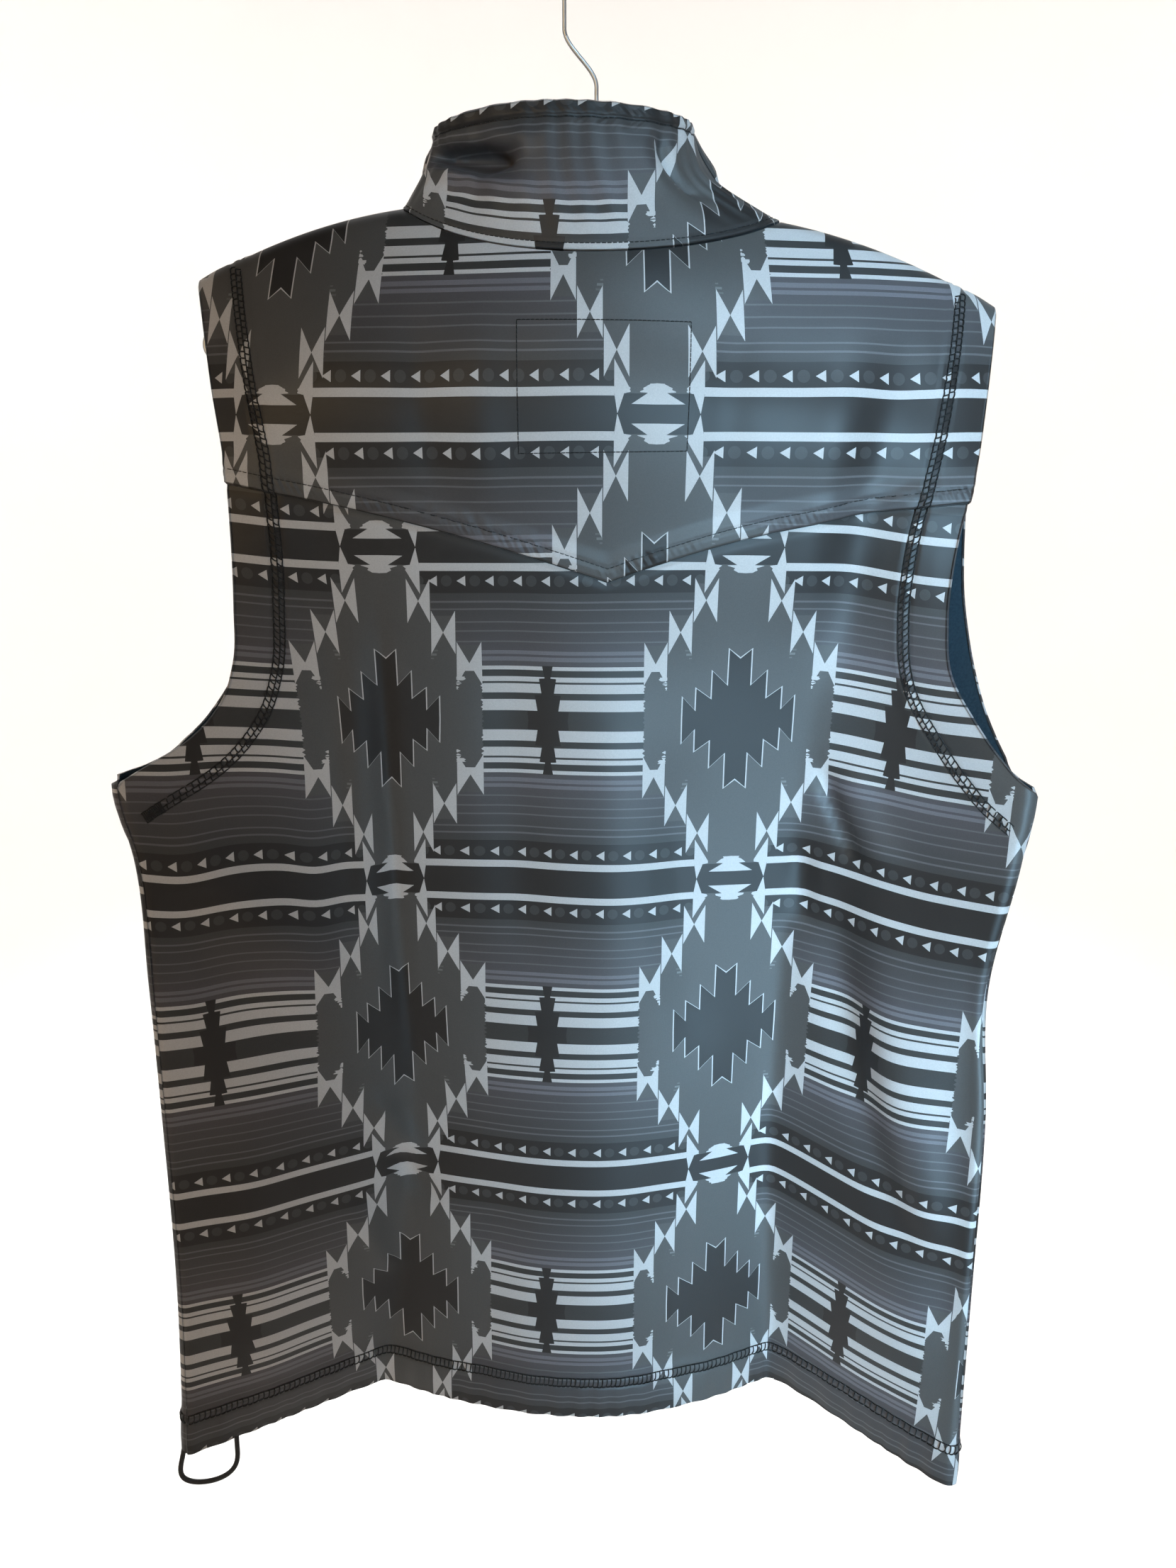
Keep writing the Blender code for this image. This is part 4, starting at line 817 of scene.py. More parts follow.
def make_piece(name, points, groups, materials, picks=None, flat=None, lap=None, smooth_faces=True):
    """A mesh object from points and faces; picks gives material numbers, flat a cloth map, lap the mark of
    a pressed edge, which the cloth paints as a shade line.
    """
    mesh = bpy.data.meshes.new(name)
    mesh.vertices.add(len(points))
    mesh.vertices.foreach_set("co", np.asarray(points, np.float32).ravel())
    corners = np.concatenate([np.ravel(group) for group in groups]).astype(np.int32)
    sizes = np.concatenate([np.full(len(group), group.shape[1]) for group in groups])
    mesh.loops.add(len(corners))
    mesh.loops.foreach_set("vertex_index", corners)
    mesh.polygons.add(len(sizes))
    starts = np.concatenate([[0], np.cumsum(sizes)[:-1]]).astype(np.int32)
    mesh.polygons.foreach_set("loop_start", starts)
    mesh.polygons.foreach_set("use_smooth", np.full(len(sizes), smooth_faces))
    if picks is not None:
        mesh.polygons.foreach_set("material_index", picks.astype(np.int32))
    if flat is not None:
        layer_map = mesh.uv_layers.new(name="cloth")
        layer_map.uv.foreach_set("vector", np.asarray(flat, np.float32)[corners].ravel())
    if lap is not None:
        mesh.attributes.new("lap", "FLOAT", "POINT").data.foreach_set("value", lap.astype(np.float32))
    mesh.update(calc_edges=True)
    mesh.validate()
    obj = bpy.data.objects.new(name, mesh)
    bpy.context.scene.collection.objects.link(obj)
    for material in materials:
        mesh.materials.append(material)
    return obj


def rim_of(rows, cols):
    """Grid numbers round the edge of a grid, and the neighbour inside of each."""
    r = np.concatenate([np.arange(rows - 1), np.full(cols - 1, rows - 1), np.arange(rows - 1, 0, -1),
                        np.zeros(cols - 1, int)])
    c = np.concatenate([np.zeros(rows - 1, int), np.arange(cols - 1), np.full(rows - 1, cols - 1),
                        np.arange(cols - 1, 0, -1)])
    return r * cols + c, np.clip(r, 1, rows - 2) * cols + np.clip(c, 1, cols - 2)


def shell(name, outer, normal, wall, flat, materials, lined, outward, lap=None):
    """A cloth wall: a grid, a second skin one wall behind it, and a rounded rim between them.

    lined marks the inner faces that show the lining's material rather than the turned-in cloth;
    lap is 1 at a pressed edge and falls away from it, and the printed cloth paints a shade line where it is
    near 1.
    """
    rows, cols = outer.shape[:2]
    n = rows * cols
    skins = np.concatenate([outer.reshape(-1, 3), (outer - wall * normal).reshape(-1, 3)])
    rim, inside = rim_of(rows, cols)
    out = unit(skins[rim] - skins[inside])
    rounded = 0.5 * (skins[rim] + skins[n + rim]) + 0.5 * wall * out
    points = np.concatenate([skins, rounded])
    a = (np.arange(rows - 1)[:, None] * cols + np.arange(cols - 1)[None]).ravel()
    face = np.stack([a, a + 1, a + cols + 1, a + cols], 1)
    back = face[:, ::-1] + n
    k = np.arange(len(rim))
    after = np.roll(k, -1)
    edge_out = np.stack([rim, rim[after], 2 * n + after, 2 * n + k], 1)
    edge_in = np.stack([2 * n + k, 2 * n + after, n + rim[after], n + rim], 1)
    groups = [face, back, edge_out[:, ::-1], edge_in[:, ::-1]]
    if outward > 0:
        groups = [group[:, ::-1] for group in groups]
    picks = np.zeros(sum(len(group) for group in groups))
    picks[len(face):2 * len(face)] = lined[:-1, :-1].ravel()
    maps = flat.reshape(-1, 2)
    if lap is not None:
        lap = np.concatenate([lap.ravel(), lap.ravel(), lap.ravel()[rim]])
    return make_piece(name, points, groups, materials, picks, np.concatenate([maps, maps, maps[rim]]), lap)


def tubes(name, paths, normals, radius, sides, material):
    """Round threads, all joined: a ring of points about every place of every path, ends closed."""
    count, steps = paths.shape[:2]
    ahead = unit(np.gradient(paths, axis=1))
    across = unit(np.cross(ahead, normals))
    up = np.cross(across, ahead)
    angle = 2 * math.pi * np.arange(sides) / sides
    wide, tall = np.cos(angle)[:, None], np.sin(angle)[:, None]
    rings = paths[:, :, None] + radius * (wide * across[:, :, None] + tall * up[:, :, None])
    first = (np.arange(count)[:, None] * steps + np.arange(steps - 1)[None]).ravel()[:, None] * sides
    k = np.arange(sides)[None]
    after = (k + 1) % sides
    ahead_ring = first + sides
    quads = np.stack([first + k, first + after, ahead_ring + after, ahead_ring + k], -1).reshape(-1, 4)
    start = np.arange(count)[:, None] * steps * sides + k
    caps = np.concatenate([start[:, ::-1], start + (steps - 1) * sides])
    return make_piece(name, rings.reshape(-1, 3), [quads, caps], [material])


def strip_along(lines, pitch):
    """Run length at each point of a polyline, and the run lengths of equal steps near a pitch."""
    run = np.concatenate([[0], np.cumsum(np.linalg.norm(np.diff(lines, axis=0), axis=1))])
    count = max(2, int(run[-1] / pitch))
    return run, np.linspace(0, run[-1], count + 1)


def at_run(lines, run, where):
    """Columns of a polyline read at run lengths."""
    return np.stack([np.interp(where, run, lines[:, k]) for k in range(lines.shape[1])], -1)


def stitch_places(lines, pitch, steps=5):
    """Run stitches on a polyline: each covers a share of its pitch; rows of places, one row a stitch."""
    run, ends = strip_along(lines, pitch)
    q = np.linspace(0.5 - 0.5 * RUN_SHARE, 0.5 + 0.5 * RUN_SHARE, steps)
    where = ends[:-1, None] + (ends[1:] - ends[:-1])[:, None] * q
    return at_run(lines, run, where)


def bowed(steps, high):
    """Lift of a stitch along its length: its two ends dive into the cloth."""
    return high * np.sin(math.pi * np.linspace(0, 1, steps)) ** 0.5 - 0.35 * high


def offset_line(u, v, distance):
    """A line of the flat cloth moved sideways by a distance, to its left for positive ones."""
    to_u, to_v = np.gradient(u), np.gradient(v)
    length = np.hypot(to_u, to_v)
    return u - distance * to_v / length, v + distance * to_u / length


class Value:
    """A socket of a material that takes part in Python sums; each operator adds one Math node."""

    def __init__(self, finish, socket):
        self.finish = finish
        self.socket = socket

    def __add__(self, other):
        return self.finish.math("ADD", self, other)

    def __radd__(self, other):
        return self.finish.math("ADD", other, self)

    def __sub__(self, other):
        return self.finish.math("SUBTRACT", self, other)

    def __rsub__(self, other):
        return self.finish.math("SUBTRACT", other, self)

    def __mul__(self, other):
        return self.finish.math("MULTIPLY", self, other)

    def __rmul__(self, other):
        return self.finish.math("MULTIPLY", other, self)

    def __truediv__(self, other):
        return self.finish.math("DIVIDE", self, other)

    def __rtruediv__(self, other):
        return self.finish.math("DIVIDE", other, self)

    def __lt__(self, other):
        return self.finish.math("LESS_THAN", self, other)

    def __gt__(self, other):
        return self.finish.math("GREATER_THAN", self, other)

    def __abs__(self):
        return self.finish.math("ABSOLUTE", self)

    def wrapped(self, low, high):
        return self.finish.math("WRAP", self, high, low)

    def either(self, other):
        return self.finish.math("MAXIMUM", self, other)


class Finish:
    """One material and its node tree."""

    def __init__(self, name, **constants):
        self.material = bpy.data.materials.new(name)
        self.material.use_nodes = True
        self.tree = self.material.node_tree
        self.shader = self.tree.nodes["Principled BSDF"]
        for key, value in constants.items():
            self.shader.inputs[key.replace("_", " ")].default_value = value

    def feed(self, socket, value):
        if isinstance(value, Value):
            self.tree.links.new(value.socket, socket)
        else:
            socket.default_value = value

    def node(self, kind, settings=None, inputs=None, output=0):
        """A node of a kind: its settings first, then the values or links of its sockets."""
        made = self.tree.nodes.new("ShaderNode" + kind)
        for key, value in (settings or {}).items():
            if key == "stops":
                self.set_stops(made.color_ramp, value)
            elif key == "steps":
                made.color_ramp.interpolation = value
            else:
                setattr(made, key, value)
        for key, value in (inputs or {}).items():
            self.feed(made.inputs[key], value)
        return Value(self, made.outputs[output])

    def set_stops(self, ramp, stops):
        """Stops of a ramp: place and colour with alpha."""
        while len(ramp.elements) > 1:
            ramp.elements.remove(ramp.elements[-1])
        ramp.elements[0].position = stops[0][0]
        ramp.elements[0].color = stops[0][1]
        for place, colour in stops[1:]:
            ramp.elements.new(place).color = colour

    def math(self, operation, *values):
        return self.node("Math", {"operation": operation}, dict(enumerate(values)))

    def mix(self, share, one, other):
        """A colour between two by a share."""
        made = self.tree.nodes.new("ShaderNodeMix")
        made.data_type = "RGBA"
        self.feed(made.inputs["Factor"], share)
        for socket, value in ((made.inputs[6], one), (made.inputs[7], other)):
            self.feed(socket, value if isinstance(value, Value) else (*value, 1.0))
        return Value(self, made.outputs[2])

    def ramp(self, value, stops, steps="LINEAR"):
        """The colour and alpha of a ramp at a value."""
        colour = self.node("ValToRGB", {"steps": steps, "stops": stops}, {"Fac": value})
        return colour, Value(self, colour.socket.node.outputs["Alpha"])

    def level(self, value, pairs, reach, steps="LINEAR"):
        """A number read from pairs of place and number, the place as a length up to reach."""
        top = max(number for _, number in pairs)
        stops = [(place / reach, (number / top,) * 3 + (1.0,)) for place, number in pairs]
        grey, _ = self.ramp(value / reach, stops, steps)
        return self.node("RGBToBW", None, {0: grey}) * top

    def noise(self, place, scale, detail=2.0):
        return self.node("TexNoise", None, {"Vector": place, "Scale": scale, "Detail": detail})

    def object_place(self):
        return self.node("TexCoord", None, None, "Object")

    def bump(self, height, distance, strength, **under):
        """A bump of a height; given a Normal, it lies over that other bump."""
        inputs = {"Height": height, "Distance": distance, "Strength": strength}
        return self.node("Bump", None, {**inputs, **under}, "Normal")

    def wear(self, **links):
        """Links values to the shader's sockets by name and gives the material."""
        for key, value in links.items():
            self.feed(self.shader.inputs[key.replace("_", " ")], value)
        return self.material


# Colours of the print
LIGHT, LILAC, LINE = (0.545, 0.522, 0.518), (0.159, 0.149, 0.164), (0.124, 0.119, 0.123)
GROUND, FIELD, FIELD_LILAC = (0.084, 0.080, 0.078), (0.053, 0.050, 0.050), (0.085, 0.077, 0.082)
DARK, GAP, DOT_GREY = (0.0245, 0.0213, 0.0205), (0.042, 0.040, 0.039), (0.049, 0.046, 0.046)

# Stripes by distance from the medallion row, in metres: from, to, colour
NEAR_STRIPES = (
    (0.0000, 0.0055, GAP), (0.0055, 0.0119, LIGHT), (0.0119, 0.0157, GAP), (0.0157, 0.0209, LIGHT),
    (0.0209, 0.0221, GAP), (0.0221, 0.0249, LIGHT), (0.0249, 0.0286, GAP), (0.0286, 0.0307, LIGHT),
    (0.0307, 0.0336, None), (0.0336, 0.0360, LILAC), (0.0360, 0.0374, None), (0.0374, 0.0395, LILAC),
    (0.0395, 0.0420, None),
)
FAR_STRIPES = (
    (0.0420, 0.0440, None), (0.0440, 0.0449, LINE), (0.0449, 0.0498, None), (0.0498, 0.0507, LINE),
    (0.0507, 0.0549, None), (0.0549, 0.0558, LINE), (0.0558, 0.0620, None), (0.0620, 0.0629, LINE),
    (0.0629, 0.0661, None), (0.0661, 0.0670, LINE), (0.0670, 0.0712, None), (0.0712, 0.0832, DARK),
    (0.0832, 0.0874, LIGHT), (0.0874, 0.0957, DARK),
)
NEAR_END, FAR_END = NEAR_STRIPES[-1][1], FAR_STRIPES[-1][1]
# Lilac of the field fades between these distances; slow wobble of the rows
LILAC_FULL, LILAC_GONE, WOBBLE = 0.036, 0.070, 0.0024
# Half width of the diamond ground by height, of the stepped tree by height
GROUND_STEPS = ((0.0, 0.0550), (0.0425, 0.0415), (0.0590, 0.0280), (0.0760, 0.0224))
TREE_STEPS = (
    (0.0, 0.0115), (0.0052, 0.0121), (0.0053, 0.0061), (0.0145, 0.0076), (0.0147, 0.0035),
    (0.0240, 0.0050), (0.0242, 0.0017), (0.0312, 0.0031), (0.0313, 0.0),
)
TREE_SHIFT, TREE_TOP = 0.455, 0.0312
# Longest reach of the tree's and the medallion's charts; ragged edges: closeness, depth, depth on the bun
CHART_REACH, RAGGED, JAG, BUN_JAG = 0.036, 740.0, 0.0030, 0.0050
# Height of the medallion's edge by distance from its middle: notch and three leaning teeth
MEDALLION = (
    (0.0000, 0.0344), (0.0064, 0.0397), (0.00641, 0.0190), (0.0157, 0.0275), (0.01571, 0.0115),
    (0.0248, 0.0179), (0.02481, 0.0050), (0.0325, 0.0130), (0.03251, 0.0),
)
MEDALLION_LINE = 0.0007
# Bow-tie chain: first middle, step from one to the next, half sizes
BOW_FIRST, BOW_STEP, BOW_HALF = (0.0212, 0.0670), (0.01375, -0.0174), (0.0066, 0.0121)
# Kite beside the band: outer edge, its lean toward the tip, width by height
KITE_EDGE, KITE_LEAN, KITE_LOW = 0.0224, 0.0017, 0.0093
KITE = (
    (0.0, 0.0), (0.0710, 0.0), (0.0845, 0.0083), (0.0862, 0.0083), (0.0863, 0.0052), (0.0953, 0.0019),
    (0.0957, 0.0),
)
# Row of arrows and dots: height, pitch, an arrow's length and half width, a dot's radius, their places
ROW_MIDDLE, ROW_PITCH, ARROW, DOT = 0.0780, REPEAT_WIDE / 13, (0.0048, 0.0028), 0.0030
ARROW_AT, DOT_AT = 0.25, 0.64
# Bun on the band: half width by distance from the band's middle, a foot and a ragged dome
BUN = (
    (0.0, 0.0), (0.0043, 0.0), (0.0044, 0.0135), (0.0095, 0.0048), (0.0097, 0.0091), (0.0136, 0.0042),
    (0.0138, 0.0),
)
BUN_WAIST, BUN_TOP, BUN_REACH = 0.0096, 0.0137, 0.020
# Faint strokes at the second bow-tie's inner foot: low and high edge, inner and outer end, strength
DASHES = (
    (-1.08, -0.98, -1.30, -0.55, 0.8), (-0.88, -0.80, -1.22, -0.45, 0.4), (-1.24, -1.18, -1.24, -0.80, 0.5),
)
DASH_GREY = (0.190, 0.186, 0.186)
# Torn inner foot of the outer bow-tie, in half sizes: low and high edge, inner and outer end
TORN_FOOT = (
    (-0.80, -0.62, -1.04, -0.40), (-0.90, -0.80, -1.04, -0.72), (-1.05, -0.94, -1.04, -0.78),
    (-1.22, -1.05, -1.04, -0.90),
)
TORN_NECK, TORN_FROM = (0.40, 0.35), -0.62
# Hexagon under the bun: half height, half width and how its ends lean; half height of the band
HEX, BAND_HALF = (0.0092, 0.0207, 0.38), 0.0083


def outline_of(pairs, line):
    """The same edge moved out by a line's width: teeth a little higher, jumps a little further out."""
    moved = []
    for index, (place, high) in enumerate(pairs):
        jump = 1.001 if index > 0 and index % 2 == 0 else 1.0
        out = line * jump if place > 0 else 0.0
        moved.append((place + out, high + 1.25 * line))
    return tuple(moved[:-1]) + ((moved[-1][0], 0.0),)


def stripes(finish, height, table, start, end):
    """Hard-edged stripes from a table: colour, and alpha where there is one."""
    stops = []
    for low, _, colour in table:
        stops.append(((low - start) / (end - start), (*(colour or FIELD), 1.0 if colour else 0.0)))
    return finish.ramp((height - start) / (end - start), stops, "CONSTANT")


def print_colour(finish):
    """The print: stripes, arrows and dots, stepped diamond, bow-tie chains, medallion and tree."""
    cloth_map = finish.node("UVMap", {"uv_map": "cloth"})
    parts = finish.node("SeparateXYZ", None, {0: cloth_map})
    u, v = parts, Value(finish, parts.socket.node.outputs[1])
    wobble = finish.noise(cloth_map, 9.0, 1.0)
    v = v + (wobble - 0.5) * WOBBLE
    half_wide, half_tall = 0.5 * REPEAT_WIDE, 0.5 * REPEAT_TALL
    across = u.wrapped(-half_wide, half_wide)
    height = abs(v.wrapped(-half_tall, half_tall))
    reach = abs(across)
    fading = ((0.0, 1.0), (LILAC_FULL, 1.0), (LILAC_GONE, 0.0), (half_tall, 0.0))
    shade = finish.level(height, fading, half_tall)
    colour = finish.mix(shade, FIELD, FIELD_LILAC)
    near, near_on = stripes(finish, height, NEAR_STRIPES, 0.0, NEAR_END)
    far, far_on = stripes(finish, height, FAR_STRIPES, NEAR_END, FAR_END)
    colour = finish.mix(near_on * (height < NEAR_END), colour, near)
    colour = finish.mix(far_on * (height > NEAR_END), colour, far)
    arrow_at = (u + ARROW_AT * ROW_PITCH).wrapped(0.0, ROW_PITCH)
    off_row = abs(height - ROW_MIDDLE)
    arrow = (arrow_at < ARROW[0]) * (off_row < arrow_at * (ARROW[1] / ARROW[0]))
    from_dot = arrow_at - DOT_AT * ROW_PITCH
    dot = (from_dot * from_dot + off_row * off_row) < DOT * DOT
    colour = finish.mix(dot, colour, DOT_GREY)
    colour = finish.mix(arrow, colour, LIGHT)
    tree_at = abs((u - TREE_SHIFT * REPEAT_WIDE).wrapped(-half_wide, half_wide))
    tree = tree_at < finish.level(height, TREE_STEPS, CHART_REACH)
    colour = finish.mix(tree * (height < TREE_TOP), colour, DARK)
    ragged = finish.noise(finish.node("CombineXYZ", None, {1: v}), RAGGED, 0.0)
    jag = ragged - 0.5
    from_band = half_tall - height
    ground_wide = finish.level(height, GROUND_STEPS, half_tall, "CONSTANT")
    ground_wide = ground_wide + jag * JAG * (height < KITE[1][0])
    ground = (reach < ground_wide) * (from_band > BAND_HALF)
    colour = finish.mix(ground, colour, GROUND)
    which = finish.math("FLOOR", (reach - BOW_FIRST[0]) / BOW_STEP[0] + 0.5)
    side_x = (reach - BOW_FIRST[0] - which * BOW_STEP[0]) / BOW_HALF[0]
    side_y = (height - BOW_FIRST[1] - which * BOW_STEP[1]) / BOW_HALF[1]
    for low, high, inner, outer, strength in DASHES:
        dash = (side_y > low) * (side_y < high) * (side_x > inner) * (side_x < outer)
        dash = dash * (which > 0.5) * (which < 1.5)
        colour = finish.mix(dash * strength, colour, DASH_GREY)
    bow_x, bow_y = abs(side_x), abs(side_y)
    bow = (bow_y < bow_x) * (bow_x < 1.0) * (which > -0.5) * (which < 2.5)
    is_outer = (which > 1.5) * (which < 2.5)
    bow = bow * (1.0 - is_outer * (side_x < 0.0) * (side_y < TORN_FROM))
    foot = (side_y < 0.0) * (bow_x < TORN_NECK[0]) * (bow_y < TORN_NECK[1])
    for low, high, inner, outer in TORN_FOOT:
        bar = (side_y > low) * (side_y < high)
        foot = foot.either(bar * (side_x > inner - jag * 0.5) * (side_x < outer + jag * 0.7))
    bow = bow.either(foot * is_outer)
    kite_in = KITE_EDGE - reach
    lean = (KITE_LEAN - from_band * (KITE_LEAN / KITE_LOW)).either(0.0)
    kite_wide = finish.level(height, KITE, half_tall)
    kite_wide = kite_wide + jag * JAG * (height > KITE[2][0] - 0.001) * (height < KITE[3][0])
    kite = (kite_in > lean) * (kite_in < kite_wide)
    colour = finish.mix(bow.either(kite), colour, LIGHT)
    hexagon = (from_band < HEX[0]) * (reach < HEX[1] - from_band * HEX[2])
    colour = finish.mix(hexagon, colour, DARK)
    in_dome = (from_band > BUN_WAIST) * (from_band < BUN_TOP)
    bun = reach < finish.level(from_band, BUN, BUN_REACH) + jag * BUN_JAG * in_dome
    colour = finish.mix(bun, colour, LIGHT)
    line = height < finish.level(reach, outline_of(MEDALLION, MEDALLION_LINE), CHART_REACH)
    fill = height < finish.level(reach, MEDALLION, CHART_REACH)
    colour = finish.mix(line, colour, LIGHT)
    return finish.mix(fill, colour, DARK)


def printed_cloth():
    """Matt bonded softshell: the print, a fine fleck, slow unevenness, a fine grain, puckers beside pressed
    edges and a painted shade line along them, where the gap under a lapped edge or rolled band is in
    shadow.
    """
    finish = Finish("printed_softshell", Roughness=0.48, Specular_IOR_Level=0.42, Sheen_Weight=0.04,
                    Sheen_Roughness=0.40, Sheen_Tint=(0.86, 0.92, 1.0, 1.0))
    place = finish.object_place()
    fleck = finish.noise(place, 1500.0, 1.0)
    slow = finish.noise(place, 24.0, 2.0)
    from_edge = (1.0 - finish.node("Attribute", {"attribute_name": "lap"}, None, "Fac")) * LAP_REACH
    # Painted shade: a dark line along the yoke's lapped edge and the collar band's stitch, standing in for
    # the shadow in the fold's gap
    painted_shade = finish.math("MINIMUM", (2.0 - from_edge * (2.0 / PAINTED_SHADE_WIDTH)).either(0.0), 1.0)
    tone = (0.80 + fleck * 0.28 + (slow - 0.5) * 0.10) * (1.0 - painted_shade * PAINTED_SHADE_DARK)
    bright = finish.node("VectorMath", {"operation": "SCALE"}, {0: print_colour(finish), "Scale": tone})
    grain = finish.bump(finish.noise(place, 1900.0, 2.0), 0.00012, 0.30)
    beside = (1.0 - abs(from_edge - FINE_AT) / FINE_HALF).either(0.0)
    along = finish.node("SeparateXYZ", None, {0: place})
    drawn = finish.node("CombineXYZ", None, {0: along + from_edge * 0.5})
    uneven = (finish.noise(place, 19.0, 1.0) - 0.42).either(0.0) * 5.0
    pucker = (finish.noise(drawn, FINE_CLOSE, 0.0) - 0.5) * beside * uneven
    normal = finish.bump(pucker, FINE_DEEP, 0.8, Normal=grain)
    return finish.wear(Base_Color=bright, Normal=normal, Roughness=0.42 + fleck * 0.12)


def fleece():
    """Navy fleece of the cloth's inner face: soft mottling and a napped bump."""
    finish = Finish("navy_fleece", Roughness=0.95, Specular_IOR_Level=0.15, Sheen_Weight=0.25)
    place = finish.object_place()
    nap = finish.noise(place, 700.0, 3.0)
    colour = finish.mix(nap, (0.012, 0.024, 0.036), (0.030, 0.058, 0.082))
    return finish.wear(Base_Color=colour, Normal=finish.bump(nap, 0.0006, 0.6))


def thread_finish(name, colour, roughness):
    """Black thread with a slight twist of lighter fibres."""
    finish = Finish(name, Roughness=roughness)
    twist = finish.noise(finish.object_place(), 2600.0, 2.0)
    lit = tuple(2.2 * c for c in colour)
    return finish.wear(Base_Color=finish.mix(twist, colour, lit), Normal=finish.bump(twist, 0.0001, 0.4))


def woven_tape():
    """Black zip tape: fine woven ribs across it."""
    finish = Finish("zip_tape_weave", Roughness=0.82)
    place = finish.object_place()
    threads = {"Vector": place, "Scale": 420.0, "Distortion": 1.2}
    weave = finish.node("TexWave", {"bands_direction": "Z"}, threads, 1)
    colour = finish.mix(weave, (0.012, 0.012, 0.013), (0.030, 0.030, 0.033))
    return finish.wear(Base_Color=colour, Normal=finish.bump(weave, 0.0003, 0.5))


def moulded_teeth():
    """Black acetal: smooth, faintly scuffed."""
    finish = Finish("zip_teeth_plastic", Roughness=0.38)
    scuff = finish.noise(finish.object_place(), 300.0, 3.0)
    colour = finish.mix(scuff, (0.014, 0.014, 0.015), (0.030, 0.030, 0.032))
    return finish.wear(Base_Color=colour, Roughness=0.28 + scuff * 0.25)


def plated_metal():
    """Dark plated zinc with brighter worn patches."""
    finish = Finish("zip_plated_zinc", Metallic=1.0, Roughness=0.34)
    worn = finish.noise(finish.object_place(), 420.0, 4.0)
    colour = finish.mix(worn, (0.055, 0.056, 0.060), (0.22, 0.22, 0.23))
    return finish.wear(Base_Color=colour, Roughness=0.24 + worn * 0.28)


def drawn_wire():
    """Bright drawn steel wire, dulled a little in patches."""
    finish = Finish("hanger_steel", Metallic=1.0, Roughness=0.26)
    dull = finish.noise(finish.object_place(), 160.0, 4.0)
    colour = finish.mix(dull, (0.46, 0.47, 0.49), (0.70, 0.71, 0.73))
    return finish.wear(Base_Color=colour, Roughness=0.16 + dull * 0.30)


def braided_elastic():
    """Black elastic cord: a fine knobbly plait, lighter on its high spots."""
    finish = Finish("elastic_braid", Roughness=0.7)
    plait = finish.noise(finish.object_place(), 900.0, 1.0)
    colour = finish.mix(plait, (0.014, 0.014, 0.016), (0.055, 0.055, 0.060))
    return finish.wear(Base_Color=colour, Normal=finish.bump(plait, 0.0004, 0.7))


def seat(piece, node, body="vest"):
    """A piece rides on its body and stands in for its CAD node, which is hidden."""
    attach(piece, body)
    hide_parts(node)


def spaced(*spans):
    """Shares from spans of (from, to, count), each joined to the next."""
    runs = [np.linspace(*span) for span in spans]
    return np.unique(np.concatenate(runs).round(6))


def cut_panel(name, node, place, across, down, dress, print_at, materials, outward):
    """One cut panel: its grid dressed and given its wall, map and lined faces, then seated in place of its
    CAD node.
    """
    s, t = np.meshgrid(across, down)
    g, z = place(s, t)
    outer, normal = skin(g, z, dress)
    u = flat_reach(g, z)
    maps = print_map(u, z, dress, print_at)
    turning = z - hem(outer[..., 0]) < HEM_TURN + TURN_SHOWS
    lap = None
    # Distance mark from the yoke's lapped edge; the cloth paints a shade line along it
    if dress is dress_yoke:
        lap = np.clip(1.0 - (z - yoke_seam(g) + YOKE_LAP) / LAP_REACH, 0.0, 1.0)
    piece = shell(name, outer, normal, WALL, maps, materials, ~turning, outward, lap)
    seat(piece, node)


def print_map(u, z, dress, print_at):
    """Place in the chart: the lower back hangs a little askew and its stripes fall toward the right."""
    if dress is dress_yoke:
        u = u - YOKE_EASE[1] * np.maximum(u - YOKE_EASE[0], 0.0)
        return np.stack([(u - print_at[0]) / STRETCH_WIDE, (z - print_at[1]) / STRETCH_YOKE], -1)
    down = np.clip((PRINT_BODY[1] - z) / PRINT_DROP, 0.0, 1.0)
    if dress is dress_body:
        chest = np.exp(-((z - SAG_AT[0]) / SAG_AT[1]) ** 2)
        waist = ease((PULL_FROM[0] - z) / PULL_FROM[1]) * (1.0 - ease((PULL_TO[0] - z) / PULL_TO[1]))
        fall = RIGHT_FALL[2] * ease((u - RIGHT_FALL[0]) / RIGHT_FALL[1])
        lift = LEFT_RISE[2] * ease((-LEFT_RISE[0] - u) / LEFT_RISE[1])
        z = z + fall - lift * ease((LEFT_RISE_LOW[0] + z) / LEFT_RISE_LOW[1])
        z = z + chest * sum(rise * np.exp(-((u - at) / half) ** 2) for at, half, rise in WING_SAG)
        u = u + waist * sum(pull * np.exp(-((u - at) / half) ** 2) for at, half, pull in FOLD_PULL)
    u = u * (1.0 - PRINT_NARROW * down) + PRINT_SHIFT * down
    return np.stack([(u - print_at[0]) / STRETCH_WIDE, (z - print_at[1]) / STRETCH_TALL], -1)


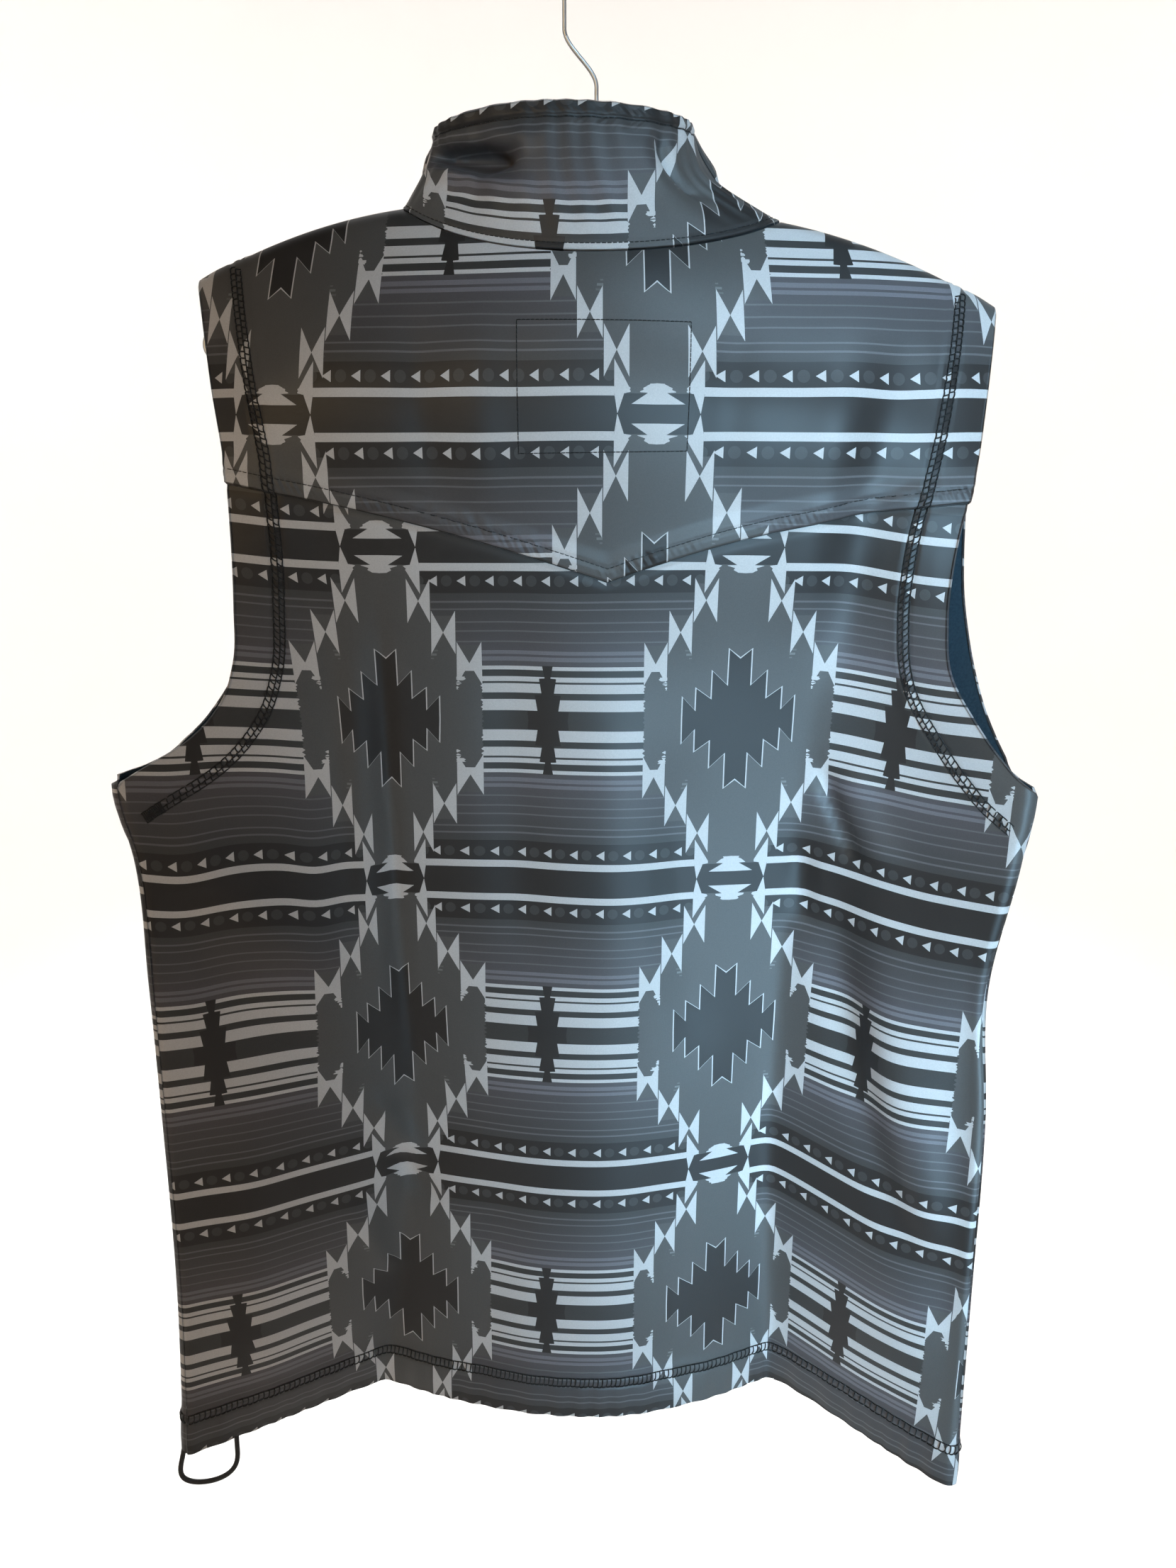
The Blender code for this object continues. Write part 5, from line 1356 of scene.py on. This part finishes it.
def cut_panels(both):
    """The yoke, the lower back and both fronts, in the printed cloth and its lining."""
    seam = yoke_reach(np.array([0.0, 1.0]))
    point = float((YOKE_TIP[0] - seam[0]) / (seam[1] - seam[0]))
    span = TIP[RIGHT][0] - TIP[LEFT][0]
    neck = [(corner[0] - TIP[LEFT][0]) / span for corner in (NECK[LEFT], NECK[RIGHT])]
    across = spaced((0, 0.075, 24), (0.075, neck[0], 16), (neck[0], point, 34), (point, neck[1], 34),
                    (neck[1], 0.925, 16), (0.925, 1, 24))
    up = spaced((0, 0.11, 17), (0.11, 0.9, 44), (0.9, 1, 11))
    cut_panel("yoke_cloth", "back_yoke", yoke_place, across, up, dress_yoke, PRINT_YOKE, both, -1)
    across = spaced((0, 0.07, 30), (0.07, point, 62), (point, 0.93, 62), (0.93, 1, 30))
    down = spaced((0, 0.08, 6), (0.08, 0.86, 30), (0.86, 1.04, 16), (1.04, 1.925, 100), (1.925, 2, 30))
    cut_panel("lower_back_cloth", "back_body", body_place, across, down, dress_body, PRINT_BODY, both, 1)
    across = spaced((0, 0.05, 12), (0.05, FRONT_NECK_SHARE, 40), (FRONT_NECK_SHARE, 0.88, 24),
                    (0.88, 1, 32))
    down = spaced((0, 0.1, 10), (0.1, 0.9, 44), (0.9, 1.04, 12), (1.04, 1.925, 80), (1.925, 2, 26))
    for name, sign in (("front_left", LEFT), ("front_right", RIGHT)):
        place = partial(front_place, sign=sign)
        print_at = (sign * PRINT_FRONT, PRINT_BODY[1])
        cut_panel(name + "_cloth", name, place, across, down, dress_front, print_at, both, -sign)


def cut_collar(both):
    """The stand collar; its print runs round it, measured along each row from one tree."""
    s, t = np.meshgrid(np.linspace(0, 1, 181), spaced((0, 0.14, 12), (0.14, 0.84, 22), (0.84, 1, 14)))
    share = lerp(COLLAR_FOOT, 1.0, t)
    angle = collar_angle(s, share)
    outer, normal = collar_skin(angle, share)
    plain = collar_point(angle, share)
    run = np.linalg.norm(np.diff(plain, axis=1), axis=-1)
    along = np.concatenate([np.zeros((len(run), 1)), np.cumsum(run, axis=1)], axis=1)
    behind = (s[0] > 0.34) & (s[0] < 0.66)
    tree = [np.interp(PRINT_COLLAR[0], row[behind, 0], far[behind]) for row, far in zip(plain, along)]
    along = along - np.array(tree)[:, None]
    height = (share * COLLAR_HEIGHT - PRINT_COLLAR[1]) / STRETCH_COLLAR
    maps = np.stack([TREE_SHIFT * REPEAT_WIDE - along / STRETCH_COLLAR, height], -1)
    # Mark of the band's stitch; the cloth paints a shade line along it
    from_stitch = np.abs((1.0 - share) * COLLAR_HEIGHT - COLLAR_BAND)
    lap = np.clip(1.0 - BAND_MARK * from_stitch / LAP_REACH, 0.0, 1.0)
    lined = np.ones(s.shape, bool)
    piece = shell("collar_cloth", outer, normal, COLLAR_WALL, maps, both, lined, -1, lap)
    seat(piece, "collar")


def sewn(name, path, normal, radius, material):
    """Threads sewn to the cloth, as one piece."""
    piece = tubes(name, path, normal, radius, THREAD_SIDES, material)
    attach(piece, "vest")


def run_row(name, lines, dress, pitch, material):
    """A row of run stitches along a line of reach and height."""
    places = stitch_places(np.asarray(lines, float), pitch)
    lift = np.broadcast_to(bowed(places.shape[1], RUN_HIGH * THREAD), places.shape[:2])
    path, normal = skin(places[..., 0], places[..., 1], dress, lift)
    sewn(name, path, normal, THREAD, material)


def cover_row(name, first, second, dress, material, pitch, columns):
    """Cover stitch between two lines: chained rails, and slanting rungs that step from column to column."""
    first, second = np.asarray(first, float), np.asarray(second, float)
    run, ends = strip_along(first, pitch)
    other_run, _ = strip_along(second, pitch)
    scale = other_run[-1] / run[-1]
    q = np.linspace(0.0, 1.0, 6)[:, None]
    rows = []
    hump = 4 * q * (1 - q)
    for rail in range(columns + 1):
        shift = 0.5 * pitch * rail
        where = np.clip(ends + shift, 0.0, run[-1])
        near, far = at_run(first, run, where), at_run(second, other_run, where * scale)
        line = lerp(near, far, rail / columns)
        sideways = unit(far - near)[:-1] * RAIL_BOW * (1 if rail % 2 else -1)
        rows.append(line[:-1, None] + (line[1:] - line[:-1])[:, None] * q + hump * sideways[:, None])
        if rail == columns:
            break
        where = np.clip(ends + shift + RUNG_SLANT * pitch, 0.0, run[-1])
        near, far = at_run(first, run, where), at_run(second, other_run, where * scale)
        across = lerp(near, far, (rail + 1) / columns)
        along = unit(line[1:] - line[:-1]) * RUNG_BOW * pitch
        rows.append(line[:-1, None] + (across - line)[:-1, None] * q + hump * along[:, None])
    places = np.concatenate(rows)
    lift = bowed(places.shape[1], COVER_HIGH * COVER_THREAD) + 0.5 * COVER_THREAD
    path, normal = skin(places[..., 0], places[..., 1], dress, np.broadcast_to(lift, places.shape[:2]))
    sewn(name, path, normal, COVER_THREAD, material)


def bar_tack(name, first, second, dress, material):
    """A dense zigzag over the last stretch of a cover stitch, and its loose thread ends."""
    sides = []
    for line in (first, second):
        run, _ = strip_along(line, ARMHOLE_PITCH)
        sides.append(at_run(line, run, run[-1] - np.linspace(TACK_LONG, 0.0, 2 * TACK_TURNS)))
    odd = (np.arange(2 * TACK_TURNS) % 2)[:, None]
    corners = np.where(odd, lerp(sides[0], sides[1], 1.08), lerp(sides[0], sides[1], -0.08))
    q = np.linspace(0.0, 1.0, 6)
    zigzag = corners[:-1, None] + (corners[1:] - corners[:-1])[:, None] * q[:, None]
    start = 0.5 * (sides[0][-6] + sides[1][-6])
    ends = np.array(TACK_ENDS)
    tails = start + ends[:, None, :2] * q[:, None]
    tack_lift = np.broadcast_to(bowed(len(q), TACK_HIGH * COVER_THREAD), zigzag.shape[:2])
    lift = np.concatenate([tack_lift, COVER_THREAD + ends[:, 2:] * q ** 1.5])
    places = np.concatenate([zigzag, tails])
    path, normal = skin(places[..., 0], places[..., 1], dress, lift)
    sewn(name, path, normal, COVER_THREAD, material)


def dress_whole_back(x, g, z):
    """Relief of the back for stitches that cross the yoke seam."""
    return np.where(z > yoke_seam(g) - YOKE_LAP, dress_yoke(x, g, z), dress_body(x, g, z))


def stitch_armholes(thread):
    """Cover stitch of two columns round each half armhole, with a bar tack under the left arm."""
    for name, inward, dress in (("back_left", 1, dress_whole_back), ("back_right", -1, dress_whole_back),
                                ("front_left", -1, dress_front), ("front_right", 1, dress_front)):
        sign = LEFT if name.endswith("left") else RIGHT
        back = dress is dress_whole_back
        lines = []
        for depth in (ARMHOLE_TURN, ARMHOLE_TURN + COVER_WIDE):
            u, z = offset_line(*ARMHOLE_LINES[name], inward * depth)
            g = reach_of_flat(u, z)
            seam = seam_reach(z, sign)
            inside = (sign * g < sign * seam) if back else (sign * g > sign * seam)
            inside &= z < ridge(cloth(g, z, not back)[..., 0]) - STITCH_END
            lines.append(np.stack([g[inside], z[inside]], -1))
        cover_row("armhole_stitch_" + name, *lines, dress, thread, ARMHOLE_PITCH, 2)
        if name == "back_left":
            bar_tack("underarm_tack", *lines, dress, thread)


def hem_rows(g, level):
    """The two needle rows over a hem at a level."""
    return [np.stack([g, level + depth], -1) for depth in (HEM_TURN, HEM_TURN + COVER_WIDE)]


def stitch_hem_and_zip(thread):
    """Cover stitch along the hem, and a run of top stitch down each side of the zip."""
    z_level = HEM + HEM_TURN
    edge = {sign: float(seam_reach(np.array(z_level), sign)) for sign in (LEFT, RIGHT)}
    g = np.linspace(edge[LEFT] + STITCH_END, edge[RIGHT] - STITCH_END, 240)
    cover_row("hem_stitch_back", *hem_rows(g, hem(g)), dress_body, thread, HEM_PITCH, 1)
    for name, sign in (("left", LEFT), ("right", RIGHT)):
        level = float(hem(np.array(HEM_SIDE * sign)))
        zip_edge = np.array(ZIP_X + sign * (ZIP_HALF + STITCH_END))
        zip_reach = float(reach_of_front(zip_edge, np.array(z_level), sign))
        g = np.linspace(edge[sign] + sign * STITCH_END, zip_reach, 120)
        rows = hem_rows(g, np.full_like(g, level))
        cover_row("hem_stitch_front_" + name, *rows, dress_front, thread, HEM_PITCH, 1)
        z = np.linspace(level + 0.004, NECK_FRONT - 0.006, 200)
        g = reach_of_front(np.full_like(z, ZIP_X + sign * (ZIP_HALF + ZIP_STITCH)), z, sign)
        run_row("zip_stitch_" + name, np.stack([g, z], -1), dress_front, TOP_PITCH, thread)


def stitch_yoke(thread):
    """Top stitch over the yoke's lapped edge, and the rectangle on the yoke."""
    g = yoke_reach(np.linspace(0.003, 0.997, 200))
    run_row("yoke_stitch", np.stack([g, yoke_seam(g) + YOKE_STITCH], -1), dress_yoke, TOP_PITCH, thread)
    run_row("patch_stitch", PATCH + PATCH[:1], dress_yoke, PATCH_PITCH, thread)


def stitch_collar(thread):
    """Top stitch round the collar, over the neck seam and under the top band."""
    for name, share in (("collar_seam_stitch", COLLAR_STITCH / COLLAR_HEIGHT),
                        ("collar_top_stitch", 1.0 - COLLAR_BAND / COLLAR_HEIGHT)):
        s = np.linspace(0.004, 0.996, 400)
        row = collar_point(collar_angle(s, share), np.full_like(s, share))
        run = np.concatenate([[0], np.cumsum(np.linalg.norm(np.diff(row, axis=0), axis=1))])
        around = np.interp(stitch_places(run[:, None], TOP_PITCH)[..., 0], run, s)
        shares = np.full_like(around, share)
        lift = np.broadcast_to(bowed(around.shape[1], RUN_HIGH * THREAD), around.shape)
        path, normal = collar_skin(collar_angle(around, shares), shares, lift)
        sewn(name, path, normal, THREAD, thread)


def zip_tapes(tape):
    """Two woven tapes beside the teeth, straight down the front edges."""
    s, t = np.meshgrid(np.linspace(0, 1, 7), np.linspace(0, 1, 150))
    height = lerp(ZIP_TOP, ZIP_BOTTOM, t)
    for name, low, high in (("left", -ZIP_HALF + SEAM_GAP, -TEETH_HALF - SEAM_GAP),
                            ("right", TEETH_HALF + SEAM_GAP, ZIP_HALF - SEAM_GAP)):
        outer = np.stack([ZIP_X + lerp(low, high, s), zip_depth(height) - TAPE_SINK, height], -1)
        normal = np.broadcast_to(np.array([0.0, 1.0, 0.0]), outer.shape)
        maps = np.stack([outer[..., 0], height], -1)
        lined = np.zeros(s.shape)
        piece = shell("zip_tape_" + name + "_cloth", outer, normal, TAPE_WALL, maps, [tape], lined, -1)
        seat(piece, "zip_tape_" + name)


def zip_teeth(plastic):
    """Interlocked teeth: a small bevelled block at every pitch, leaning left and right by turns."""
    first_z = ZIP_TOP - TEETH_DOWN
    at = np.arange(int((first_z - ZIP_BOTTOM) / TOOTH_PITCH))
    z = first_z - at * TOOTH_PITCH
    lean = np.where(at % 2 == 0, -1.0, 1.0) * TOOTH_LEAN
    middle = np.stack([ZIP_X + lean, zip_depth(z) - TAPE_SINK, z], -1)
    corners = []
    for out, narrow in TOOTH_LEVELS:
        for x, tall in ((-1, -1), (1, -1), (1, 1), (-1, 1)):
            corners.append((x * TOOTH_HALF * narrow, out, 0.5 * tall * TOOTH_TALL * narrow))
    points = (middle[:, None] + np.array(corners)[None]).reshape(-1, 3)
    first = (at * len(corners))[:, None]
    faces = []
    for level in (0, 4, 8):
        for k in range(4):
            here, after = level + k, level + (k + 1) % 4
            faces.append(first + np.array([here, here + 4, after + 4, after]))
    faces += [first + np.array([0, 1, 2, 3]), first + np.array([15, 14, 13, 12])]
    piece = make_piece("zip_teeth_row", points, [np.concatenate(faces)], [plastic], smooth_faces=False)
    seat(piece, "zip_teeth")


def rounded_box(half_x, half_y, corner, count):
    """Outline of a rounded rectangle: quarter arcs about four inset corners."""
    angle = np.linspace(0, 2 * math.pi, 4 * count, endpoint=False) + math.pi / (4 * count)
    x = np.sign(np.cos(angle)) * (half_x - corner) + corner * np.cos(angle)
    y = np.sign(np.sin(angle)) * (half_y - corner) + corner * np.sin(angle)
    return x, y


def loft(rings):
    """Points and faces of a closed loft through rings of equal count, ends filled."""
    rings = np.asarray(rings)
    levels, count = rings.shape[:2]
    first = (np.arange(levels - 1)[:, None] * count).reshape(-1, 1)
    k = np.arange(count)[None]
    after = (k + 1) % count
    above = first + count
    quads = np.stack([first + k, first + after, above + after, above + k], -1).reshape(-1, 4)
    caps = np.stack([np.arange(count)[::-1], (levels - 1) * count + np.arange(count)])
    return rings.reshape(-1, 3), quads, caps


def zip_slider(metal):
    """Slider: a waisted body that widens upward, and an arched bridge on its face."""
    rings = []
    for share, wide, deep in SLIDER_RINGS:
        x, y = rounded_box(wide, deep, 0.45 * deep, 6)
        z = np.full_like(x, lerp(SLIDER_LOW, SLIDER_TOP, share))
        rings.append(np.stack([ZIP_X + x, SLIDER_MIDDLE + y, z], -1))
    points, quads, caps = loft(rings)
    angle = np.linspace(0, math.pi, 15)
    arch_y = BRIDGE_FOOT + BRIDGE_RISE * np.sin(angle) ** 0.7
    arch_z = 0.5 * (SLIDER_TOP + SLIDER_LOW) + BRIDGE_REACH * np.cos(angle)
    path = np.stack([np.full_like(angle, ZIP_X), arch_y, arch_z], -1)
    across = np.array([1.0, 0.0, 0.0])
    out = np.cross(unit(np.gradient(path, axis=0)), across)
    x, y = rounded_box(*BRIDGE_BAR, 3)
    bridge = path[:, None] + x[None, :, None] * across + y[None, :, None] * out[:, None]
    more, more_quads, more_caps = loft(bridge)
    n = len(points)
    groups = [np.concatenate([quads, more_quads + n]), caps, more_caps + n]
    piece = make_piece("zip_slider_body", np.concatenate([points, more]), groups, [metal])
    seat(piece, "zip_slider")


def zip_pull(metal):
    """Pull tab: a thin rounded plate with a window at its top, hung on the bridge."""
    x0, y0, z0 = PIN
    plate_x, plate_z = rounded_box(*PULL_PLATE, 8)
    window_x, window_z = rounded_box(*PULL_WINDOW, 8)
    plate_z = plate_z + z0 + PULL_HALF - PULL_PLATE[1]
    window_z = window_z + z0 - PULL_HALF - PULL_WINDOW[1]
    waist = 1.0 - PULL_WAIST * np.exp(-((plate_z - (z0 - PULL_WAIST_AT)) / PULL_WAIST_HALF) ** 2)
    rings = []
    for table, x, z in ((PLATE_RINGS, plate_x * waist, plate_z), (WINDOW_RINGS, window_x, window_z)):
        middle = 0.5 * (z.min() + z.max())
        for scale, y in table:
            tall = middle + lerp(1.0, scale, 0.3) * (z - middle)
            rings.append(np.stack([x0 + scale * x, np.full_like(x, y0 + y), tall], -1))
    rings = np.array(rings)
    levels, count = rings.shape[:2]
    first = (np.arange(levels) * count)[:, None]
    after_first = np.roll(first, -1, axis=0)
    k = np.arange(count)[None]
    after = (k + 1) % count
    quads = np.stack([first + k, after_first + k, after_first + after, first + after], -1).reshape(-1, 4)
    piece = make_piece("zip_pull_tab", rings.reshape(-1, 3), [quads], [metal])
    seat(piece, "zip_pull", "pull")


def cord_path():
    """The cord loop: leaves the hem at the corner, swings down and comes back up along the back hem."""
    z = np.array([HEM])
    start = cloth(seam_reach(z, LEFT) - CORD_START, z, False)[0] + CORD_IN
    end = cloth(np.array([CORD_END]), z, False)[0] + CORD_IN
    q = np.linspace(0, 1, CORD_POINTS)
    swing = np.sin(math.pi * q) ** CORD_ROUND
    path = lerp(start, end, ease(q)[:, None])
    path[:, 2] -= CORD_DROP * swing
    path[:, 1] -= CORD_OUT * swing
    path[:, 0] -= CORD_LEAN * np.sin(2 * math.pi * q)
    return path


def hem_cord(material):
    """The drawcord's loop as a bevelled curve."""
    path = cord_path()
    curve = bpy.data.curves.new("hem_drawcord", "CURVE")
    curve.dimensions = "3D"
    curve.bevel_depth = 0.5 * CORD_DIAMETER
    curve.bevel_resolution = 4
    curve.use_fill_caps = True
    spline = curve.splines.new("POLY")
    spline.points.add(len(path) - 1)
    spline.points.foreach_set("co", np.concatenate([path, np.ones((len(path), 1))], 1).ravel())
    curve.materials.append(material)
    cord = bpy.data.objects.new("hem_drawcord", curve)
    bpy.context.scene.collection.objects.link(cord)
    seat(cord, "hem_cord")


def arc(centre, radius, start, end, count):
    """Points on a circle in the hanger's plane, angles in degrees from +X."""
    a = np.radians(np.linspace(start, end, count))
    return np.stack([centre[0] + radius * np.cos(a), np.zeros(count), centre[1] + radius * np.sin(a)], -1)


def shoulder_wire(sign):
    """The wire's shoulder from the neck out to its rounded end, then to the bottom bar."""
    end = HANGER_END[sign]
    inner = NECK[sign][0]
    under = CLOTH_ROOM + WIRE + WIRE_CLEAR
    past_neck = [inner + reach * sign for reach in SHOULDER_POINTS]
    x = np.array([0.010 * sign, inner, *past_neck, end[0] - sign * 0.020])
    z = np.array([HANGER_NECK - 0.006, 0.0, 0.0, 0.0, end[1] + 0.014])
    z[1:4] = ridge(x[1:4]) - under - np.array([NECK_DIP, 0.0, 0.0])
    run = np.abs(x - x[0])
    out = np.linspace(0, run[-1], 40)
    points = np.stack([x[0] + sign * out, np.zeros(40), smooth(run, z, out)], -1)
    turn = arc((end[0] - sign * HANGER_END_RADIUS, end[1]), HANGER_END_RADIUS, 58, -90, 14)
    if sign < 0:
        turn[:, 0] = 2 * (end[0] + HANGER_END_RADIUS) - turn[:, 0]
    return np.concatenate([points, turn])


def hanger_wire(material):
    """One wire: hook tip, hook, stem, right shoulder, bottom bar, left shoulder, twist about the stem."""
    middle = -HOOK_RADIUS + WIRE
    hook = arc((0.0, middle), HOOK_RADIUS, -35, 180, 44)
    drop = np.linspace(middle, BEND_TOP, 7)[1:-1]
    drop = np.stack([np.full_like(drop, -HOOK_RADIUS), 0 * drop, drop], -1)
    q = np.linspace(0, 1, 26)
    bend = np.stack([-HOOK_RADIUS * (1 - ease(q)), 0 * q, lerp(BEND_TOP, BEND_FOOT, q)], -1)
    stem = np.linspace(BEND_FOOT, HANGER_NECK + 0.003, 9)[1:]
    stem = np.stack([0 * stem, 0 * stem, stem], -1)
    right, left = shoulder_wire(RIGHT), shoulder_wire(LEFT)[::-1]
    bar = lerp(right[-1], left[0], np.linspace(0.05, 0.95, 19)[:, None])
    angle = math.pi + np.linspace(0, 2 * math.pi * TWIST_TURNS, 20 * TWIST_TURNS)
    reach = 2 * WIRE + 0.0003
    lift = HANGER_NECK + 0.0045 + np.linspace(0, TWIST_RISE, len(angle))
    twist = np.stack([reach * np.cos(angle), reach * np.sin(angle), lift], -1)
    bow = np.array([(-0.0062, 0.0, HANGER_NECK + 0.0005), (-0.0038, 0.0006, HANGER_NECK + 0.0028)])
    path = np.concatenate([hook, drop, bend, stem, right, bar, left, bow, twist])
    ahead = unit(np.gradient(path, axis=0))
    frames = [unit(np.cross(ahead[0], (0.0, 1.0, 0.0)))]
    for tangent in ahead[1:]:
        frames.append(unit(frames[-1] - tangent * np.dot(frames[-1], tangent)))
    piece = tubes("hanger_wire", path[None], np.array(frames)[None], WIRE, 14, material)
    seat(piece, "hanger")


def studio_floor():
    """A pale floor that curves up all round: a profile of radius and height turned about Z."""
    bend = np.linspace(0, 0.5 * math.pi, 24)[1:]
    flat = np.linspace(0, FLOOR_FLAT, 9)[1:]
    radius = np.concatenate([flat, FLOOR_FLAT + FLOOR_CURVE * np.sin(bend), [FLOOR_FLAT + FLOOR_CURVE]])
    height = np.concatenate([0 * flat, FLOOR_CURVE * (1 - np.cos(bend)), [FLOOR_WALL]])
    angle = np.linspace(0, 2 * math.pi, FLOOR_SIDES, endpoint=False)
    points = np.stack([radius[:, None] * np.cos(angle), radius[:, None] * np.sin(angle),
                       FLOOR + height[:, None] + 0 * angle], -1).reshape(-1, 3)
    k = np.arange(FLOOR_SIDES)[None]
    after = (k + 1) % FLOOR_SIDES
    first = (np.arange(len(radius) - 1) * FLOOR_SIDES)[:, None]
    above = first + FLOOR_SIDES
    quads = np.stack([first + k, above + k, above + after, first + after], -1).reshape(-1, 4)
    finish = Finish("pale_floor", Roughness=0.9)
    mottle = finish.noise(finish.object_place(), 1.5, 2.0)
    material = finish.wear(Base_Color=finish.mix(mottle, (0.86, 0.86, 0.86), (0.90, 0.90, 0.90)))
    make_piece("studio_floor", points, [quads, k], [material])


def studio_lamps():
    """Soft lamps, each turned from its place toward its aim, and a little light in the air."""
    for name, place, aim, wide, tall, watts, spread, colour in LAMPS:
        lamp = bpy.data.lights.new(name, "AREA")
        lamp.energy = watts
        lamp.shape = "RECTANGLE"
        lamp.size = wide
        lamp.size_y = tall
        lamp.spread = math.radians(spread)
        lamp.color = colour
        holder = bpy.data.objects.new(name, lamp)
        holder.location = place
        away = np.array(place) - np.array(aim)
        flat = math.hypot(away[0], away[1])
        holder.rotation_euler = (math.atan2(flat, away[2]), 0.0, math.atan2(away[0], -away[1]))
        bpy.context.scene.collection.objects.link(holder)
    world = bpy.data.worlds.new("studio_air")
    world.use_nodes = True
    air = world.node_tree.nodes["Background"]
    air.inputs["Color"].default_value = AIR_COLOUR
    air.inputs["Strength"].default_value = AIR_STRENGTH
    bpy.context.scene.world = world


def photo_camera():
    """The camera, level across and tilted down, at the photograph's angle."""
    lens = bpy.data.cameras.new("photo_camera")
    lens.lens = CAMERA_LENS
    lens.sensor_width = CAMERA_SENSOR
    camera = bpy.data.objects.new("photo_camera", lens)
    camera.location = CAMERA_AT
    camera.rotation_euler = (math.radians(CAMERA_TILT), 0.0, 0.0)
    bpy.context.scene.collection.objects.link(camera)
    bpy.context.scene.camera = camera
    bpy.context.scene.view_settings.view_transform = "Standard"


studio_floor()
studio_lamps()
photo_camera()
hem_cord(braided_elastic())
hanger_wire(drawn_wire())

SOFTSHELL = [printed_cloth(), fleece()]
cut_panels(SOFTSHELL)
cut_collar(SOFTSHELL)

THREAD_FINISH = thread_finish("black_thread", (0.0055, 0.0055, 0.0062), 0.6)
stitch_armholes(THREAD_FINISH)
stitch_hem_and_zip(THREAD_FINISH)
stitch_yoke(THREAD_FINISH)
stitch_collar(THREAD_FINISH)

zip_tapes(woven_tape())
zip_teeth(moulded_teeth())
ZIP_METAL = plated_metal()
zip_slider(ZIP_METAL)
zip_pull(ZIP_METAL)
